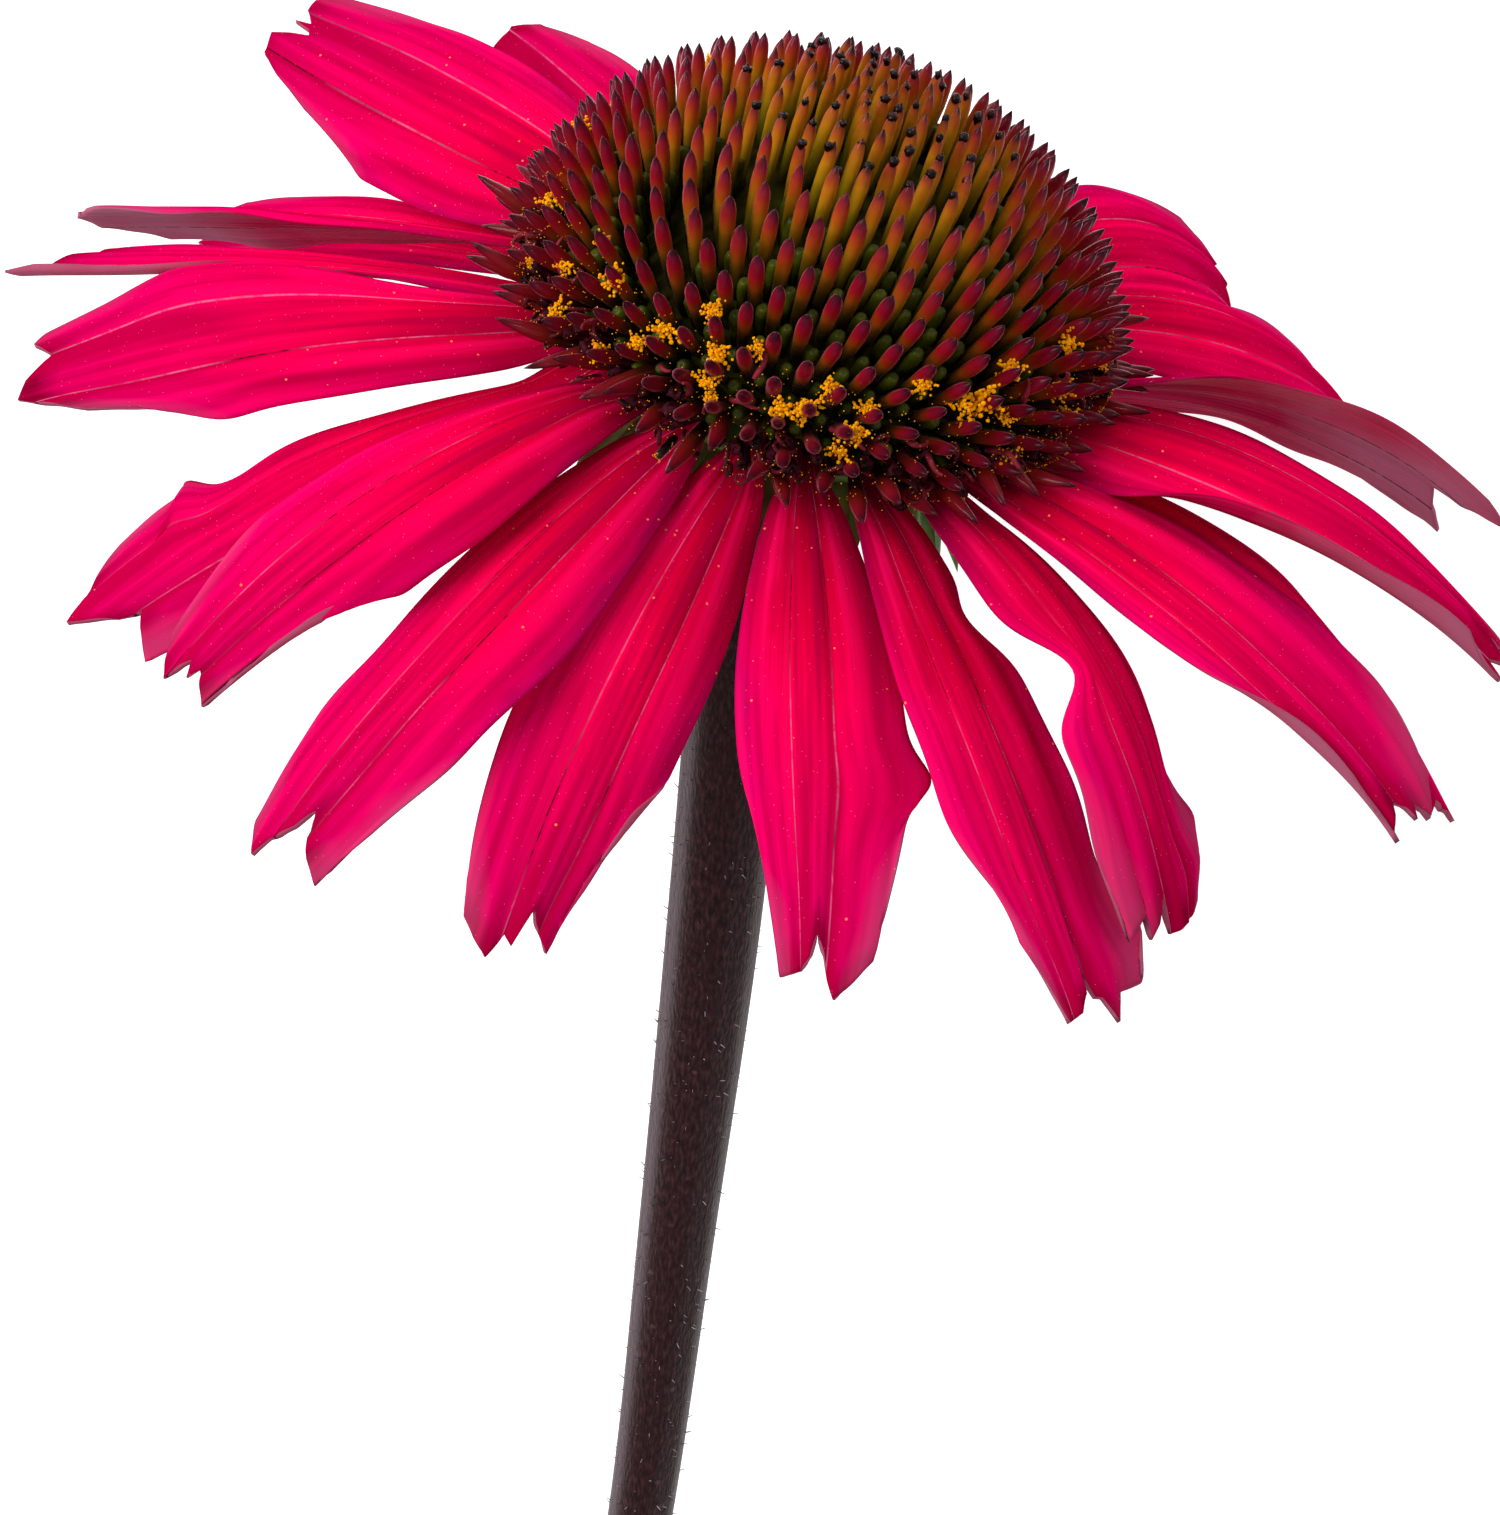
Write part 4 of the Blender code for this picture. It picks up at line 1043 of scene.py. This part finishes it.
# %% The involucre
CUP_RADIUS, CUP_BOTTOM = 10.7, -6.4
STEM_TOP_RADIUS = 3.3
BRACT_ROWS = ((-56, 1.6, 1.1, 6.8), (-68, 3.4, 2.0, 8.6), (-60, 2.4, 1.5, 7.4))
BRACTS_PER_ROW = 14
BRACT_WIDTH, BRACT_THICKNESS = 2.8, 0.5
BRACT_SKIN = dappled_skin("bract_leaf", "#34561C", "#608430", 0.6, 420.0, 0.4)

cup = extrude_up("cup", 36, ((CUP_BOTTOM, STEM_TOP_RADIUS + 0.3, 0), (CUP_BOTTOM + 0.9, 6.5, 0),
                             (CUP_TOP - 1.5, CUP_RADIUS - 0.8, 0), (CUP_TOP - 0.5, CUP_RADIUS, 0),
                             (CUP_TOP, CUP_RADIUS - 0.6, 0)))
finish_piece(cup, "involucre_cup", "bracts", BRACT_SKIN, replaced=("involucre",))


def make_bract():
    """A lance-shaped leaf, folded a little along its midrib and curved back."""
    deselect()
    bpy.ops.mesh.primitive_grid_add(x_subdivisions=6, y_subdivisions=10, size=2)
    piece = bpy.context.object
    flat = get_points(piece.data)
    along = (flat[:, 1] + 1) / 2
    half = BRACT_WIDTH / 2 * smooth_curve(((0, 0.75), (0.25, 1.0), (0.6, 0.62), (0.85, 0.25),
                                           (1.0, 0.03)), along)
    lift = 0.3 * abs(flat[:, 0]) * half - 0.9 * along ** 2
    set_points(piece.data, np.column_stack((flat[:, 0] * half, lift, along)))
    set_uv(piece.data, 0.0, along)
    thickness = piece.modifiers.new("thickness", "SOLIDIFY")
    thickness.thickness = BRACT_THICKNESS
    thickness.offset = 0.0
    apply_modifiers(piece)
    bpy.ops.object.shade_smooth()
    return piece


bract = make_bract()
places = []
for row, (fall, inset, drop, length) in enumerate(BRACT_ROWS):
    for index in range(BRACTS_PER_ROW):
        azimuth = 2 * pi * (index + 0.5 * row + random.normal(0, 0.06)) / BRACTS_PER_ROW
        tilt = radians(fall + random.normal(0, 4))
        root = Vector(outward(azimuth)) * (CUP_RADIUS - inset) + Vector((0, 0, CUP_TOP - drop))
        direction = Vector(outward(azimuth)) * cos(tilt) + Vector((0, 0, sin(tilt)))
        places.append((upright(azimuth, direction, root, random.normal(0, 0.1),
                               (1, 1, length)), 0.5))
place_copies("bracts", bract, places, "bracts", BRACT_SKIN)

# %% [markdown]
# ## The stem
# The stem is nearly black with a purple cast, ribbed, and set with short stiff pale hairs; a long
# soft sheen along two sides is painted on as pale bands. It is grown upwards from its cut end.

# %% Material of the stem
def stem_skin():
    """Ribbed waxy skin: dark purple, streaked lengthwise, with pale specks and painted sheen bands
    along two sides.
    """
    material, tree, shader = new_material("stem_skin", Roughness=0.45, IOR=1.45,
                                          Specular_IOR_Level=0.12)
    parts = add_node(tree, "SeparateXYZ", [("Vector", add_node(tree, "UVMap"))])
    wide = add_node(tree, "Math", enumerate((parts, 40.0)), operation="MULTIPLY")
    far = add_node(tree, "Math", enumerate((parts.outputs["Y"], 14.0)), operation="MULTIPLY")
    stretch = add_node(tree, "CombineXYZ", enumerate((wide, far)))
    streak = add_node(tree, "TexNoise", (("Vector", stretch), ("Scale", 1.0), ("Detail", 4.0)))
    tones = add_node(tree, "ValToRGB", [("Fac", streak)], (
        (0.35, "#1E0C0E"), (0.52, "#2E1719"), (0.68, "#422628")))
    place = add_node(tree, "TexCoord").outputs["Object"]
    speck = add_node(tree, "TexVoronoi", (("Vector", place), ("Scale", 520.0)))
    # Painted sheen: pale grey bands along two sides of the stem, where light reflects. They are not a
    # waxy bloom.
    bloom = ((0.0, 0.2), (0.08, 0.0), (0.68, 0.0), (0.78, 0.4), (0.88, 0.15))
    colour = paint_over(tree, tones.outputs[0], (
        (parts, bloom, "#7C6E76"), (speck, ((0.06, 0.4), (0.13, 0.0)), "#6A5058")))
    finish_skin(tree, shader, colour, streak, 0.5, 0.0003)
    return material


STEM_SKIN = stem_skin()
HAIR_SKIN = dappled_skin("stem_hair", "#8C8088", "#C8BEC4", 0.5, 900.0)

# %% Grow the stem
STEM_PATH = ((-146.0, 19.5, 4.1), (-120.0, 18.0, 4.1), (-90.0, 14.5, 4.3), (-65.0, 10.2, 5.1),
             (-40.0, 5.7, 6.1), (-20.0, 1.7, 6.2), (-10.0, 0.0, 6.4), (-6.75, 0.0, 6.6))
STEM_SIDES, STEM_STEPS = 36, 90
RIB_COUNT, RIB_DEPTH = 9, 0.03


def stem_at(height):
    """The stem's bow and radius at heights in mm."""
    bow = smooth_curve([(row[0], row[1]) for row in STEM_PATH], height)
    return bow, smooth_curve([(row[0], row[2]) for row in STEM_PATH], height) / 2


heights = np.linspace(STEM_PATH[0][0], STEM_PATH[-1][0], STEM_STEPS)
bows, radii = stem_at(heights)
stem = extrude_up("stem", STEM_SIDES, [tuple(map(float, row)) for row in zip(heights, radii, bows)])
points = get_points(stem.data)
bow = stem_at(points[:, 2])[0]
around = np.arctan2(points[:, 1], points[:, 0] - bow)
ribs = 1 - RIB_DEPTH * (0.5 - 0.5 * np.cos(RIB_COUNT * around + 0.02 * points[:, 2]))
points[:, 0] = bow + (points[:, 0] - bow) * ribs
points[:, 1] *= ribs
set_points(stem.data, points)
set_uv(stem.data, abs(around) / pi, points[:, 2] / 10)
finish_piece(stem, "stem_skin", "stem", STEM_SKIN, replaced=("stem",))

# %% The stem's hairs
HAIR_COUNT = 900

hair = extrude_up("hair", 3, ((-0.1, 0.05, 0), (0.35, 0.03, 0), (0.6, 0.008, 0)))
set_uv(hair.data, 0.0, 0.5)
places = []
for index in range(HAIR_COUNT):
    height = random.uniform(STEM_PATH[0][0] + 1, STEM_PATH[-1][0] - 1)
    bow, radius = (float(value) for value in stem_at(np.array(height)))
    azimuth = random.uniform(0, 2 * pi)
    root = Vector(outward(azimuth)) * radius * 0.97 + Vector((bow, 0, height))
    direction = Vector(outward(azimuth)) + Vector((0, 0, random.uniform(0.0, 0.9)))
    size = random.uniform(0.5, 1.0)
    places.append((upright(azimuth, direction, root, 0.0, (size,) * 3), 0.5))
place_copies("stem_hairs", hair, places, "stem", HAIR_SKIN)

# %% [markdown]
# ## Floor and light
# The photograph is a studio shot on white. A near-white floor, a large soft light from the
# upper left and a weaker one from the right give the same soft shading. Two small lights
# above only serve for the sharp glints on the paleae's points.

# %% Floor and light
deselect()
bpy.ops.mesh.primitive_plane_add(size=6.0)
floor = bpy.context.object
floor.name = "studio_floor"
floor_paint, floor_tree, floor_shader = new_material("studio_paper", Roughness=0.9)
floor_shader.inputs["Base Color"].default_value = linear("#F4F4F4")
floor_shader.inputs["Emission Color"].default_value = linear("#FFFFFF")
floor_shader.inputs["Emission Strength"].default_value = 0.6
floor.data.materials.append(floor_paint)


def area_light(name, place, size, power):
    """A soft square light that looks at the bloom."""
    data = bpy.data.lights.new(name, "AREA")
    data.size = size
    data.energy = power
    light = bpy.data.objects.new(name, data)
    light.location = place
    aim = Vector(bloom_centre) - Vector(place)
    light.rotation_euler = aim.to_track_quat("-Z", "Y").to_euler()
    bpy.context.scene.collection.objects.link(light)


area_light("soft_key", (-1.05, 0.38, 0.9), size=0.75, power=16.6)
area_light("glint_left", (-0.35, 0.45, 0.7), size=0.06, power=0.7)
area_light("glint_right", (0.35, 0.4, 0.75), size=0.06, power=0.5)
area_light("soft_fill", (0.6, -0.1, 0.7), size=0.7, power=0.6)
world = bpy.data.worlds.new("studio_air")
bpy.context.scene.world = world
world.use_nodes = True
world.node_tree.nodes["Background"].inputs["Color"].default_value = linear("#FFFFFF")
world.node_tree.nodes["Background"].inputs["Strength"].default_value = 0.45
bpy.context.scene.view_settings.view_transform = "Standard"
